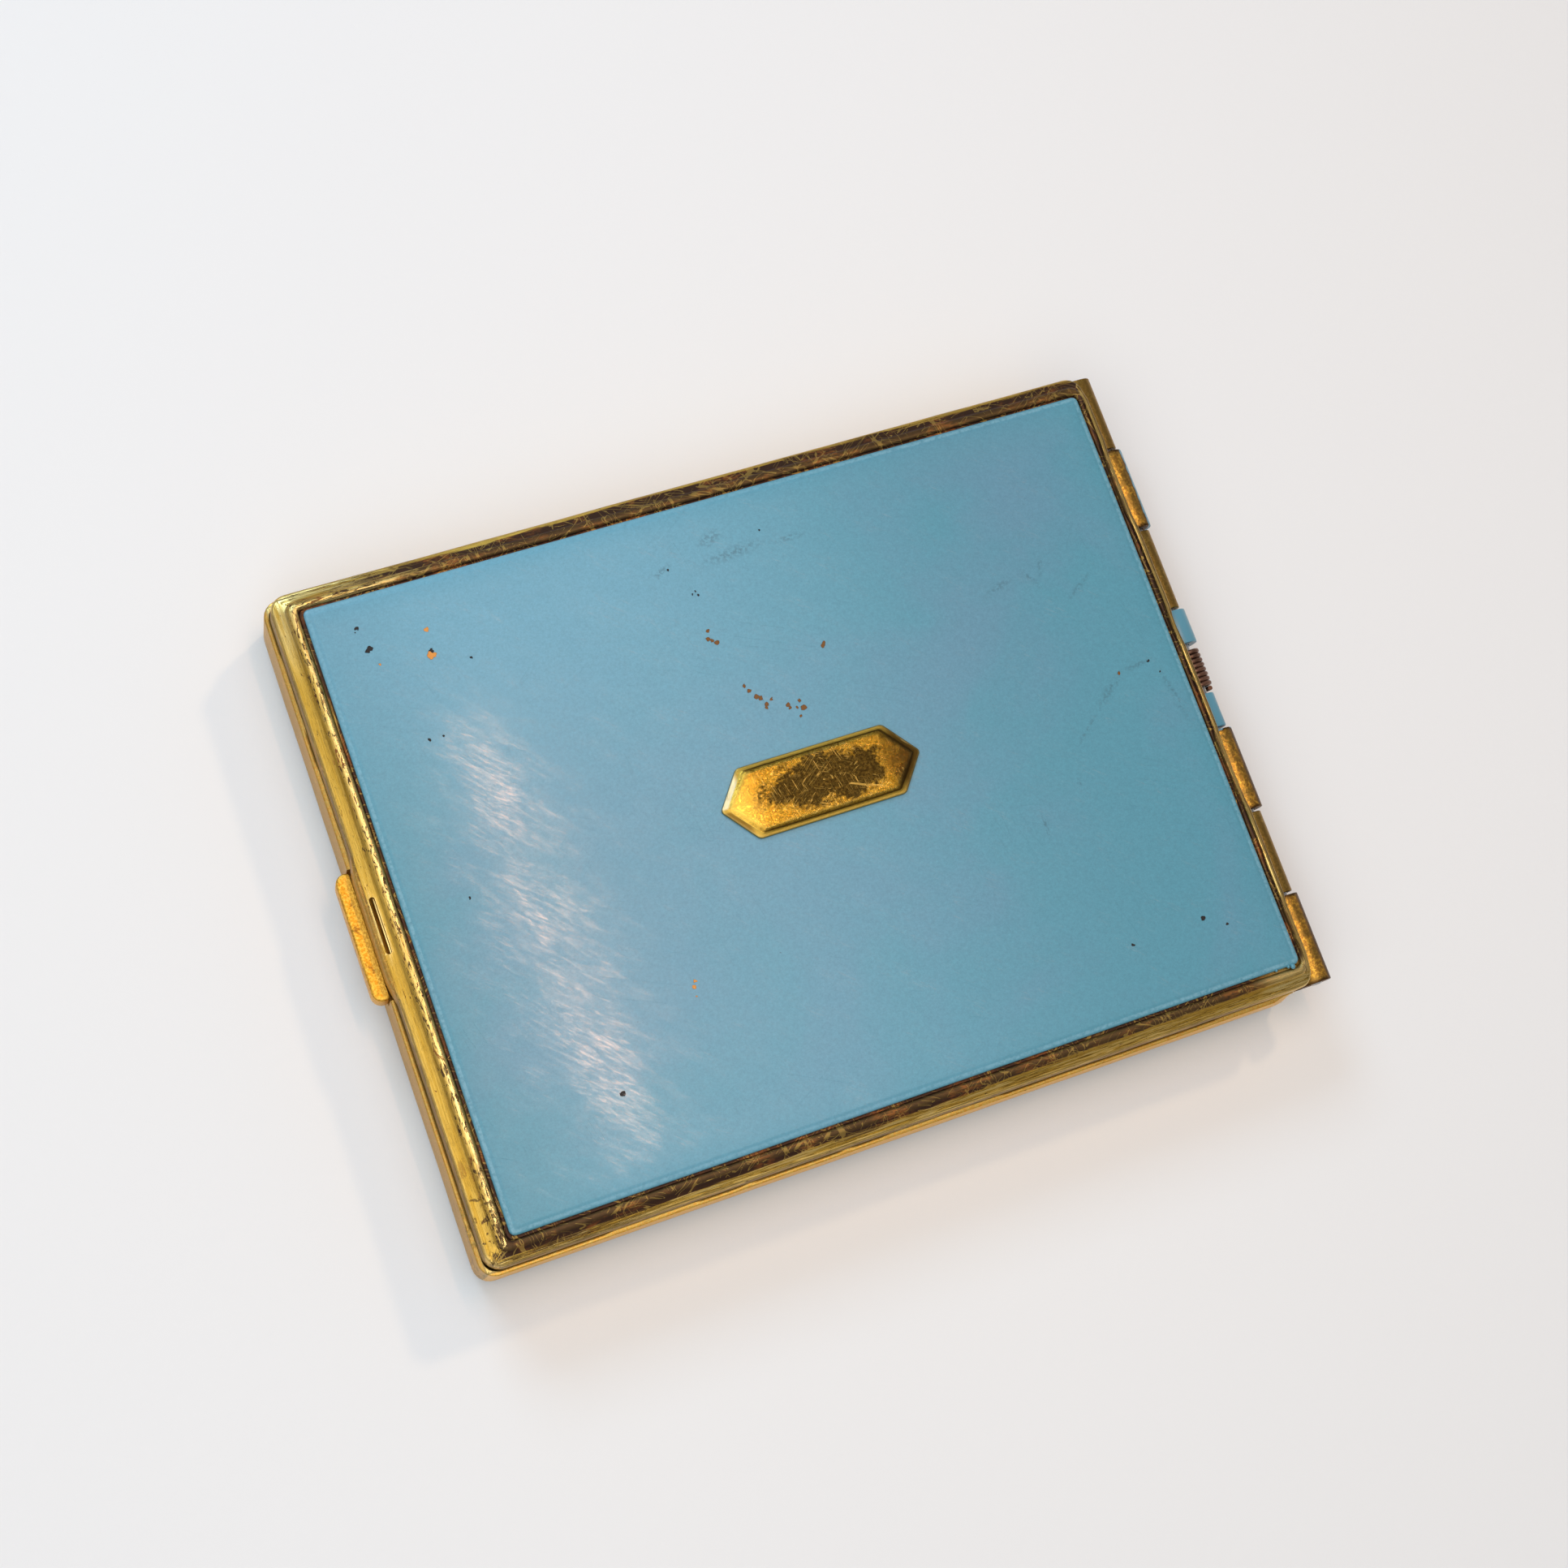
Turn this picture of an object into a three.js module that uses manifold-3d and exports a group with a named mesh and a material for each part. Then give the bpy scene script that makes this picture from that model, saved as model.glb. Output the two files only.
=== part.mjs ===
// A flat hinged powder compact: an enamelled brass case with a mirror in its lid, and in its base a
// powder well, a sifter, a puff and a sprung inner lid. Millimetres, +Z up, lid closed. The hinge runs
// along the +X side, the thumb catch is on the -X side, and z = 0 is the face that the case lies on.

import * as THREE from "three";
import { mergeVertices } from "three/addons/utils/BufferGeometryUtils.js";
import Module from "manifold-3d";

const wasm = await Module();
wasm.setup();

// Case
const caseLength = 73.6; // over the lid's side walls, along X
const caseWidth = 57; // over the lid's side walls, along Y
const baseHeight = 6.6;
const lidHeight = 3;
const partingGap = 0.2;
const wall = 0.5;
const cornerRadius = 2;
const baseOverhang = 0.4; // the base stands out past the lid on its three free sides

// Bevelled frames round the two enamelled panels
const frontFrame = 2.4;
const sideFrame = 2;
const hingeFrame = 1.2;
const bevelDrop = 0.7;
const ledgeWidth = 2;
const ledgeThickness = 0.4;
const thumbBulge = 0.35; // the lid's front swells over the catch
const thumbBulgeLength = 12.2;
const grooveLength = 4.8;
const grooveWidth = 0.5;
const grooveDepth = 0.3;

// Panels and plaque
const panelThickness = 0.5;
const panelProud = 0.15; // panel face beyond its frame's inner edge
const panelGap = 0.15;
const panelRadius = 0.8;
const panelChamfer = 0.15;
const plaqueLength = 17.9;
const plaqueWidth = 6.2;
const plaqueTip = 2.4;
const plaqueThickness = 0.35;
const plaqueRise = 0.3;
const plaqueBorder = 0.55;
const plaqueShift = [1, 0.4];

// Main hinge
const baseKnuckleRadius = 1.3;
const lidKnuckleRadius = 0.98;
const pinRadius = 0.5;
const pinClearance = 0.05;
const knuckleTuck = 0.5; // how far the base's knuckles reach in under the hinge wall
const knuckleLength = 7.4;
const knuckleGap = 0.3;
const shortKnuckle = 3.1;
const springGroup = 11.5; // the two short knuckles and the spring between them
const hingeShift = 0.5; // the spring sits a little past the middle of the side
const leafThickness = 0.35;
const leafDepth = 2.4;
const lidOpening = 0.3; // running room round the knuckles
const springWire = 0.42;
const springTurns = 8.5;
const springRoom = 0.27; // between the coil and the pin

// Powder well, sifter and puff
const sheet = 0.4;
const frontChannel = 2.6; // room for the catch between the front wall and the well's flange
const flangeWidth = 1.6;
const hingeShelf = 5.5; // the well's flange behind its hinge side
const wellCorner = 2.5;
const shelfDrop = 1.85; // the well's flange below the rim
const sifterHeight = 1.65;
const sifterRim = 2.6;
const sifterWall = 0.35;
const gauze = 0.2;
const puffLength = 47;
const puffWidth = 39;
const puffRoom = 0.15; // above the puff's ribbon
const puffCorner = 8;
const ribbonWidth = 9;
const ribbonThickness = 0.2;

// Inner lid
const doorKnuckleRadius = 0.75;
const doorPinRadius = 0.35;
const doorHingeLength = 41.2;
const doorKnuckles = 5;
const doorAxisInset = 1.45; // pin centre past the well's hinge wall
const doorLift = 0.2; // underside of the inner lid above its pin
const doorCorner = 2;
const doorField = 0.2; // raised middle of the inner lid
const doorFieldInset = 3;
const doorTabWidth = 9;
const doorTabReach = 1.3;

// Mirror
const mirrorThickness = 1;
const cardThickness = 0.25;
const bezelCorner = 1;
const bezelWall = 0.35;
const bezelLip = 1.6;

// Catch
const buttonLength = 10.9;
const buttonReach = 1.2; // thumb piece beyond the base's front wall
const buttonHeight = 2.1;
const neckLength = 8;
const neckHeight = 0.9;
const neckDrop = 0.85; // neck below the thumb piece's top
const buttonPlate = 13;
const buttonSlot = 0.15; // room round the thumb piece in its notch
const buttonDrop = 0.25; // thumb piece below the rim
const stripLength = 26;
const stripHeight = 1.1;
const stripThickness = 0.25;
const stripFoot = 3.5;
const stripBow = 15;
const noseLength = 6;
const noseReach = 0.35;
const keeperThickness = 0.3;
const keeperHook = 0.3;
const keeperClear = 0.15; // above the thumb piece's plate
const stripClear = 0.1; // between the hook and the catch spring
const noseClear = 0.12; // between the hook and the spring's nose

// Clearances
const seat = 0.05; // between pieces that rest on each other
const fit = 0.3; // round a piece that drops into another

// Levels
const partingLevel = baseHeight + partingGap;
const lidTop = partingLevel + lidHeight;
const ledgeLevel = panelThickness + seat; // depth of the frame's ledge behind the panel face
const ceiling = lidTop - ledgeLevel - ledgeThickness; // underside of the lid's ledge
const floorLevel = ledgeLevel + ledgeThickness + seat;
const axisLevel = baseHeight + partingGap / 2;
const flangeTop = baseHeight - shelfDrop;
const doorAxisLevel = flangeTop + seat + doorKnuckleRadius;
const doorLevel = doorAxisLevel + doorLift;
const sifterTop = floorLevel + sheet + seat + sifterHeight;
const puffLow = sifterTop + seat;
const puffHigh = doorLevel - puffRoom - ribbonThickness - seat;

const buttonTop = baseHeight - buttonDrop;
const plateTop = buttonTop - neckDrop; // top of the thumb piece's neck, its plate and the catch spring
const keeperFoot = plateTop + keeperClear;
const bezelBottom = ceiling - seat - cardThickness - mirrorThickness - 3 * seat - bezelWall;

// Plan of the case: each box is [x low, x high, y low, y high]
const grow = ([x0, x1, y0, y1], d) => [x0 - d, x1 + d, y0 - d, y1 + d];
const lidPlan = [-caseLength / 2, caseLength / 2, -caseWidth / 2, caseWidth / 2];
const basePlan = [
  lidPlan[0] - baseOverhang,
  lidPlan[1],
  lidPlan[2] - baseOverhang,
  lidPlan[3] + baseOverhang,
];
const panelPlan = [
  lidPlan[0] + frontFrame,
  lidPlan[1] - hingeFrame,
  lidPlan[2] + sideFrame,
  lidPlan[3] - sideFrame,
];
const hingeStandOff = baseKnuckleRadius - knuckleTuck;
const hingeX = lidPlan[1] + hingeStandOff; // the pin's centre
const hingeInner = lidPlan[1] - wall; // inner face of both hinge walls
const leafInner = hingeInner - seat - leafThickness;
const frontInner = basePlan[0] + wall; // inner face of the base's front wall
const wellPlan = [
  frontInner + frontChannel + flangeWidth,
  leafInner - fit - hingeShelf,
  basePlan[2] + wall + fit + flangeWidth,
  basePlan[3] - wall - fit - flangeWidth,
];
const flangePlan = [
  frontInner + frontChannel,
  leafInner - fit,
  basePlan[2] + wall + fit,
  basePlan[3] - wall - fit,
];
const doorX = wellPlan[1] + doorAxisInset;
const sifterPlan = grow(wellPlan, -sheet - fit);
const sifterCorner = wellCorner - sheet - fit;
const keeperX = lidPlan[0] + wall + seat; // outer face of the keeper
const stripX = keeperX + keeperThickness + keeperHook + stripClear; // the catch spring where it bows
const bezelPlan = [
  keeperX + keeperThickness + seat + fit,
  leafInner - fit,
  lidPlan[2] + wall + fit,
  lidPlan[3] - wall - fit,
];

// Shapes and solids

function roundedRect([x0, x1, y0, y1], radius) {
  const r = Math.max(radius, 0.05);
  const quarter = Math.PI / 2;
  const shape = new THREE.Shape();
  shape.absarc(x1 - r, y1 - r, r, 0, quarter);
  shape.absarc(x0 + r, y1 - r, r, quarter, 2 * quarter);
  shape.absarc(x0 + r, y0 + r, r, 2 * quarter, 3 * quarter);
  shape.absarc(x1 - r, y0 + r, r, 3 * quarter, 4 * quarter);
  return shape;
}

function slab(shape, z0, z1, chamfer = 0, curveSegments = 4) {
  const geometry = new THREE.ExtrudeGeometry(shape, {
    depth: z1 - z0 - 2 * chamfer,
    bevelEnabled: chamfer > 0,
    bevelThickness: chamfer,
    bevelSize: chamfer,
    bevelOffset: -chamfer,
    bevelSegments: 1,
    curveSegments,
  });
  return geometry.translate(0, 0, z0 + chamfer);
}

function block(x0, x1, y0, y1, z0, z1) {
  const geometry = new THREE.BoxGeometry(x1 - x0, y1 - y0, z1 - z0);
  return geometry.translate((x0 + x1) / 2, (y0 + y1) / 2, (z0 + z1) / 2);
}

function rod(radius, y0, y1, sides = 16) {
  return new THREE.CylinderGeometry(radius, radius, y1 - y0, sides).translate(0, (y0 + y1) / 2, 0);
}

// A bar along Y whose section is given by its corners in the XZ plane
function bar(corners, y0, y1) {
  const shape = new THREE.Shape(corners.map(([x, z]) => new THREE.Vector2(x, z)));
  const geometry = new THREE.ExtrudeGeometry(shape, { depth: y1 - y0, bevelEnabled: false });
  return geometry.rotateX(Math.PI / 2).translate(0, y1, 0);
}

function solid(geometry) {
  const bare = geometry.clone();
  bare.deleteAttribute("normal");
  bare.deleteAttribute("uv");
  const merged = mergeVertices(bare, 1e-4);
  return new wasm.Manifold(
    new wasm.Mesh({
      numProp: 3,
      vertProperties: new Float32Array(merged.attributes.position.array),
      triVerts: new Uint32Array(merged.index.array),
    }),
  );
}

function join(...pieces) {
  return pieces.map(asSolid).reduce((whole, piece) => whole.add(piece));
}

function cut(body, ...tools) {
  return tools.map(asSolid).reduce((rest, tool) => rest.subtract(tool), asSolid(body));
}

function asSolid(piece) {
  return piece.isBufferGeometry ? solid(piece) : piece;
}

function asGeometry(body) {
  const { vertProperties, triVerts, numProp } = body.getMesh();
  const position = new Float32Array((vertProperties.length / numProp) * 3);
  for (let v = 0; v < position.length / 3; v++) {
    position.set(vertProperties.subarray(v * numProp, v * numProp + 3), v * 3);
  }
  const geometry = new THREE.BufferGeometry();
  geometry.setAttribute("position", new THREE.BufferAttribute(position, 3));
  geometry.setIndex(new THREE.BufferAttribute(new Uint32Array(triVerts), 1));
  geometry.computeVertexNormals();
  return geometry;
}

// Materials

const finish = (color, roughness, metalness) =>
  new THREE.MeshStandardMaterial({ color, roughness, metalness });

const brass = () => finish(0xb08a3c, 0.35, 1);
const rawBrass = () => finish(0xd0932c, 0.5, 1);
const enamel = () => finish(0x6fa8bd, 0.4, 0);
const springSteel = () => finish(0x3a2620, 0.5, 1);

function node(name, shape, material) {
  const geometry = shape.isBufferGeometry ? shape : asGeometry(shape);
  const mesh = new THREE.Mesh(geometry, material);
  mesh.name = name;
  return mesh;
}

// Knuckles: the main hinge's spans along Y, from the +Y end, alternately lid and base

function hingeSpans() {
  const half = springGroup / 2;
  const pitch = knuckleLength + knuckleGap;
  const spans = [
    ["lid", hingeShift + half + 2 * pitch, lidPlan[3]],
    ["base", hingeShift + half + pitch, hingeShift + half + 2 * pitch - knuckleGap],
    ["lid", hingeShift + half, hingeShift + half + pitch - knuckleGap],
    ["base", hingeShift + half - knuckleGap - shortKnuckle, hingeShift + half - knuckleGap],
    ["lid", hingeShift - half + knuckleGap, hingeShift - half + knuckleGap + shortKnuckle],
    ["base", hingeShift - half - pitch + knuckleGap, hingeShift - half],
    ["lid", hingeShift - half - 2 * pitch + knuckleGap, hingeShift - half - pitch],
    ["base", lidPlan[2], hingeShift - half - 2 * pitch],
  ];
  return spans.map(([side, low, high]) => ({ side, low, high }));
}

const spans = hingeSpans();
const springLow = spans[4].high + knuckleGap;
const springHigh = spans[3].low - knuckleGap;

// A hinge leaf: a strip inside the wall, with a web and a rolled knuckle at each of its spans. up is 1
// for the lid's leaf and -1 for the base's. Its own origin is on the pin.
function hingeLeaf(side, radius, up) {
  const strip = { x0: leafInner - hingeX, x1: hingeInner - seat - hingeX };
  const webZ = [up * radius, up * (radius - leafThickness)].sort((a, b) => a - b);
  const stripZ = [up * (radius - leafThickness), up * (radius + leafDepth)].sort((a, b) => a - b);
  const own = spans.filter((span) => span.side === side);
  const parts = own.flatMap(({ low, high }) => [
    block(strip.x0, 0, low, high, webZ[0], webZ[1]),
    rod(radius, low, high),
  ]);
  const stripEnds = [lidPlan[2] + cornerRadius, lidPlan[3] - cornerRadius];
  const bore = rod(pinRadius + pinClearance, basePlan[2], basePlan[3]);
  return cut(join(block(strip.x0, strip.x1, ...stripEnds, ...stripZ), ...parts), bore);
}

// The lid's leaf reaches only up to the ledge
function lidLeaf() {
  const whole = hingeLeaf("lid", lidKnuckleRadius, 1);
  const above = ceiling - seat - axisLevel;
  return cut(whole, block(leafInner - hingeX - 1, 0.01, lidPlan[2], lidPlan[3], above, above + leafDepth));
}

// Frames: a walled ring with a bevel on each side and a ledge that its panel sits on. Made lid way up,
// with its panel face at z = 0 and the rest below it.

function bevels(plan) {
  const [x0, x1, y0, y1] = plan;
  const ridge = -panelProud - bevelDrop;
  const top = 1;
  const sides = [
    { width: panelPlan[0] - x0, turn: 0, x: x0, y: 0 },
    { width: x1 - panelPlan[1], turn: Math.PI, x: x1, y: 0 },
    { width: panelPlan[2] - y0, turn: Math.PI / 2, x: 0, y: y0 },
    { width: y1 - panelPlan[3], turn: -Math.PI / 2, x: 0, y: y1 },
  ];
  return sides.map(({ width, turn, x, y }) => {
    const slope = bevelDrop / width;
    const corners = [
      [-1, ridge - slope],
      [-1, top],
      [(top - ridge) / slope, top],
    ];
    return bar(corners, -caseLength, caseLength).rotateZ(turn).translate(x, y, 0);
  });
}

function frame(plan, height) {
  const outer = slab(roundedRect(plan, cornerRadius), -height, 0);
  const opening = slab(
    roundedRect(grow(panelPlan, panelGap), panelRadius + panelGap),
    -ledgeLevel,
    1,
  );
  const window = slab(roundedRect(grow(panelPlan, -ledgeWidth), panelRadius), -height, 1);
  const cavity = slab(
    roundedRect(grow(plan, -wall), cornerRadius - wall),
    -height - 1,
    -ledgeLevel - ledgeThickness,
  );
  return cut(outer, opening, window, cavity, ...bevels(plan), block(...grow(plan, 1), -panelProud, 1));
}

const lidGroup = new THREE.Group();
const baseGroup = new THREE.Group();
const doorGroup = new THREE.Group();
const catchGroup = new THREE.Group();

// Lid

function lidFrame() {
  const bulge = cut(
    slab(
      roundedRect(
        [lidPlan[0] - thumbBulge, lidPlan[0] + wall, -thumbBulgeLength / 2, thumbBulgeLength / 2],
        thumbBulge,
      ),
      -lidHeight,
      -panelProud - bevelDrop,
    ),
    block(lidPlan[0] + wall / 2, lidPlan[0] + 1, -caseWidth / 2, caseWidth / 2, -lidHeight - 1, 1),
  );
  const grooveX = lidPlan[0] + frontFrame / 3;
  const grooveZ = -panelProud - bevelDrop * (1 - 1 / 3);
  const groove = slab(
    roundedRect(
      [grooveX - grooveWidth / 2, grooveX + grooveWidth / 2, -grooveLength / 2, grooveLength / 2],
      grooveWidth / 2,
    ),
    grooveZ - grooveDepth,
    1,
  );
  const cuts = spans.map(({ side, low, high }) => {
    const clear = side === "base" ? baseKnuckleRadius + lidOpening : lidKnuckleRadius + seat;
    const room = side === "base" ? Math.sqrt(clear ** 2 - hingeStandOff ** 2) : clear;
    const top = axisLevel + room - lidTop;
    return block(hingeInner - 1, lidPlan[1] + 1, low - knuckleGap, high + knuckleGap, -lidHeight - 1, top);
  });
  const springRoom = block(
    hingeInner - 1,
    lidPlan[1] + 1,
    springLow - knuckleGap,
    springHigh + knuckleGap,
    -lidHeight - 1,
    axisLevel + baseKnuckleRadius - lidTop,
  );
  return cut(join(frame(lidPlan, lidHeight), bulge), groove, springRoom, ...cuts);
}

function plaque() {
  const outline = (inset) => {
    const half = plaqueLength / 2 - inset * 1.2;
    const side = plaqueWidth / 2 - inset;
    const shoulder = half - plaqueTip;
    const corners = [
      [half, 0],
      [shoulder, side],
      [-shoulder, side],
      [-half, 0],
      [-shoulder, -side],
      [shoulder, -side],
    ];
    return new THREE.Shape(corners.map(([x, y]) => new THREE.Vector2(x, y)));
  };
  const plate = slab(outline(0), 0, plaqueThickness + 0.1, 0.1);
  const raised = slab(outline(plaqueBorder), 0.1, plaqueThickness + plaqueRise, 0.12);
  return join(plate, raised);
}

function mirrorBezel() {
  const inner = bezelCorner - bezelWall;
  const outer = slab(roundedRect(bezelPlan, bezelCorner), bezelBottom, ceiling - seat);
  const inside = slab(
    roundedRect(grow(bezelPlan, -bezelWall), inner),
    bezelBottom + bezelWall,
    ceiling + 1,
  );
  const viewPlan = grow(bezelPlan, -bezelWall - bezelLip);
  const view = slab(roundedRect(viewPlan, inner), bezelBottom - 1, ceiling + 1);
  return cut(outer, inside, view);
}

function keeper() {
  const x0 = keeperX;
  const x1 = x0 + keeperThickness;
  const foot = keeperFoot;
  const corners = [
    [x0, ceiling - seat],
    [x0, foot],
    [x1 + keeperHook, foot],
    [x1 + keeperHook, foot + keeperThickness],
    [x1, foot + keeperThickness],
    [x1, ceiling - seat],
  ];
  return bar(corners, -noseLength / 2, noseLength / 2);
}

{
  const frameMesh = node("lid_frame", lidFrame(), brass());
  frameMesh.position.z = lidTop;
  const panel = node(
    "lid_panel",
    slab(roundedRect(panelPlan, panelRadius), -panelThickness, 0, panelChamfer),
    enamel(),
  );
  panel.position.z = lidTop;
  const badge = node("plaque", plaque(), brass());
  const panelCentre = [(panelPlan[0] + panelPlan[1]) / 2, (panelPlan[2] + panelPlan[3]) / 2];
  badge.position.set(panelCentre[0] + plaqueShift[0], panelCentre[1] + plaqueShift[1], lidTop + 0.02);

  const bezel = node("mirror_bezel", mirrorBezel(), rawBrass());
  const glassPlan = grow(bezelPlan, -bezelWall - seat);
  const glassLow = bezelBottom + bezelWall + seat;
  const glass = node(
    "mirror",
    slab(roundedRect(glassPlan, bezelCorner - bezelWall - seat), glassLow, glassLow + mirrorThickness),
    finish(0xdfe6ea, 0.05, 1),
  );
  const cardLow = glassLow + mirrorThickness + seat;
  const card = node(
    "mirror_card",
    slab(roundedRect(glassPlan, bezelCorner - bezelWall - seat), cardLow, cardLow + cardThickness),
    finish(0x8d7455, 0.9, 0),
  );
  const leaf = node("lid_hinge_leaf", lidLeaf(), brass());
  leaf.position.set(hingeX, 0, axisLevel);
  lidGroup.add(frameMesh, panel, badge, bezel, glass, card, leaf, node("catch_keeper", keeper(), rawBrass()));
}

// Base

function baseFrame() {
  const ring = frame(basePlan, baseHeight);
  const wallCut = block(
    hingeInner - 1,
    lidPlan[1] + 1,
    lidPlan[2] - 0.01,
    lidPlan[3] + 0.01,
    -baseHeight - 1,
    -(axisLevel - baseKnuckleRadius - seat),
  );
  const notch = block(
    basePlan[0] - 1,
    frontInner + 1,
    -buttonLength / 2 - buttonSlot,
    buttonLength / 2 + buttonSlot,
    -baseHeight - 1,
    -(buttonTop - buttonHeight - buttonSlot),
  );
  return cut(ring, wallCut, notch);
}

function well() {
  const flange = slab(roundedRect(flangePlan, 1), flangeTop - sheet, flangeTop);
  const pan = slab(roundedRect(wellPlan, wellCorner), floorLevel, flangeTop - sheet / 2);
  const insidePlan = roundedRect(grow(wellPlan, -sheet), wellCorner - sheet);
  const inside = slab(insidePlan, floorLevel + sheet, flangeTop + 1);
  return cut(join(flange, pan), inside);
}

function sifterFrame() {
  const low = floorLevel + sheet + seat;
  const outer = slab(roundedRect(sifterPlan, sifterCorner), low, sifterTop);
  const under = slab(
    roundedRect(grow(sifterPlan, -sifterWall), sifterCorner - sifterWall),
    low - 1,
    sifterTop - sifterWall,
  );
  const viewPlan = roundedRect(grow(sifterPlan, -sifterRim), sifterCorner - sifterWall);
  const view = slab(viewPlan, low - 1, sifterTop + 1);
  return cut(outer, under, view);
}

// The coil lies round the pin, as a round wire along a helix
class Coil extends THREE.Curve {
  constructor(radius, pitch, turns) {
    super();
    Object.assign(this, { radius, pitch, turns });
  }

  getPoint(t, target = new THREE.Vector3()) {
    const angle = t * this.turns * 2 * Math.PI;
    const y = (t - 0.5) * this.pitch * this.turns;
    return target.set(this.radius * Math.cos(angle), y, this.radius * Math.sin(angle));
  }
}

function hingeSpring() {
  const section = new THREE.Shape();
  section.absarc(0, 0, springWire / 2, 0, 2 * Math.PI);
  const pitch = (springHigh - springLow - springWire) / springTurns;
  const coilRadius = pinRadius + springRoom + springWire / 2;
  return new THREE.ExtrudeGeometry(section, {
    steps: Math.round(springTurns * 14),
    curveSegments: 3,
    extrudePath: new Coil(coilRadius, pitch, springTurns),
  });
}

function doorSpans() {
  const pitch = doorHingeLength / doorKnuckles;
  return Array.from({ length: doorKnuckles }, (_, k) => ({
    side: k % 2 ? "door" : "well",
    low: -doorHingeLength / 2 + k * pitch + knuckleGap / 2,
    high: -doorHingeLength / 2 + (k + 1) * pitch - knuckleGap / 2,
  }));
}

const doorBore = rod(doorPinRadius + pinClearance, -doorHingeLength, doorHingeLength);

// The well's half of the inner hinge: a strip on the shelf, rolled up into three knuckles
function wellLeaf() {
  const r = doorKnuckleRadius;
  const own = doorSpans().filter((span) => span.side === "well");
  const strip = block(
    doorKnuckleRadius + fit,
    flangePlan[1] - doorX - fit,
    -doorHingeLength / 2,
    doorHingeLength / 2,
    -r,
    -r + leafThickness,
  );
  const parts = own.flatMap(({ low, high }) => [
    block(0, doorKnuckleRadius + 2 * fit, low, high, -r, -r + leafThickness),
    rod(r, low, high),
  ]);
  return cut(join(strip, ...parts), doorBore);
}

function catchSpring() {
  const half = stripLength / 2;
  const bow = stripBow / 2;
  const shoulder = half - stripFoot;
  const footX = frontInner + seat;
  const outline = [
    [footX, -half],
    [footX, -shoulder],
    [stripX, -bow],
    [stripX, bow],
    [footX, shoulder],
    [footX, half],
  ];
  const back = outline.map(([x, y]) => [x + stripThickness, y]).reverse();
  const shape = new THREE.Shape([...outline, ...back].map(([x, y]) => new THREE.Vector2(x, y)));
  const strip = slab(shape, plateTop - stripHeight, plateTop);
  const noseLevel = keeperFoot + keeperThickness + noseClear;
  const nose = bar(
    [
      [stripX, plateTop - 0.1],
      [stripX, noseLevel],
      [stripX - noseReach, noseLevel],
      [stripX - noseReach / 2, noseLevel + stripThickness],
      [stripX + stripThickness, noseLevel + stripThickness],
      [stripX + stripThickness, plateTop - 0.1],
    ],
    -noseLength / 2,
    noseLength / 2,
  );
  return join(strip, nose);
}

{
  const rim = node("base_frame", baseFrame(), brass());
  rim.rotation.x = Math.PI;
  const panel = node(
    "base_panel",
    slab(roundedRect(panelPlan, panelRadius), 0, panelThickness, panelChamfer),
    enamel(),
  );

  const leaf = node("base_hinge_leaf", hingeLeaf("base", baseKnuckleRadius, -1), rawBrass());
  const pin = node("hinge_pin", rod(pinRadius, lidPlan[2] - 0.1, lidPlan[3] + 0.1), springSteel());
  const coil = node("hinge_spring", hingeSpring(), springSteel());
  for (const mesh of [leaf, pin]) mesh.position.set(hingeX, 0, axisLevel);
  coil.position.set(hingeX, (springLow + springHigh) / 2, axisLevel);

  const pan = node("powder_well", well(), rawBrass());
  const sieve = node("sifter_frame", sifterFrame(), brass());
  const net = node(
    "sifter_gauze",
    slab(
      roundedRect(grow(sifterPlan, -sifterWall - seat), sifterCorner - sifterWall - seat),
      sifterTop - sifterWall - seat - gauze,
      sifterTop - sifterWall - seat,
    ),
    finish(0xe8dcc8, 0.9, 0),
  );

  const wellCentre = [(wellPlan[0] + wellPlan[1]) / 2, (wellPlan[2] + wellPlan[3]) / 2];
  const puffPlan = [-puffLength / 2, puffLength / 2, -puffWidth / 2, puffWidth / 2];
  const puff = node(
    "powder_puff",
    slab(roundedRect(puffPlan, puffCorner), puffLow, puffHigh, (puffHigh - puffLow) / 4),
    finish(0xe9c9bd, 0.95, 0),
  );
  const ribbonLow = puffHigh + seat;
  const ribbon = node(
    "puff_ribbon",
    block(-ribbonWidth / 2, ribbonWidth / 2, -puffWidth / 2 + 2, puffWidth / 2 - 2, ribbonLow,
      ribbonLow + ribbonThickness),
    finish(0xd98f8a, 0.6, 0),
  );
  for (const mesh of [puff, ribbon]) mesh.position.set(wellCentre[0], wellCentre[1], 0);

  const innerLeaf = node("well_hinge_leaf", wellLeaf(), rawBrass());
  const innerPin = node(
    "door_pin",
    rod(doorPinRadius, -doorHingeLength / 2, doorHingeLength / 2),
    springSteel(),
  );
  for (const mesh of [innerLeaf, innerPin]) mesh.position.set(doorX, 0, doorAxisLevel);
  const strip = node("catch_spring", catchSpring(), springSteel());
  baseGroup.add(rim, panel, leaf, pin, coil, pan, sieve, net, puff, ribbon, innerLeaf, innerPin, strip);
}

// Inner lid, hinged over the well. Its group's origin is on its pin.

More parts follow.
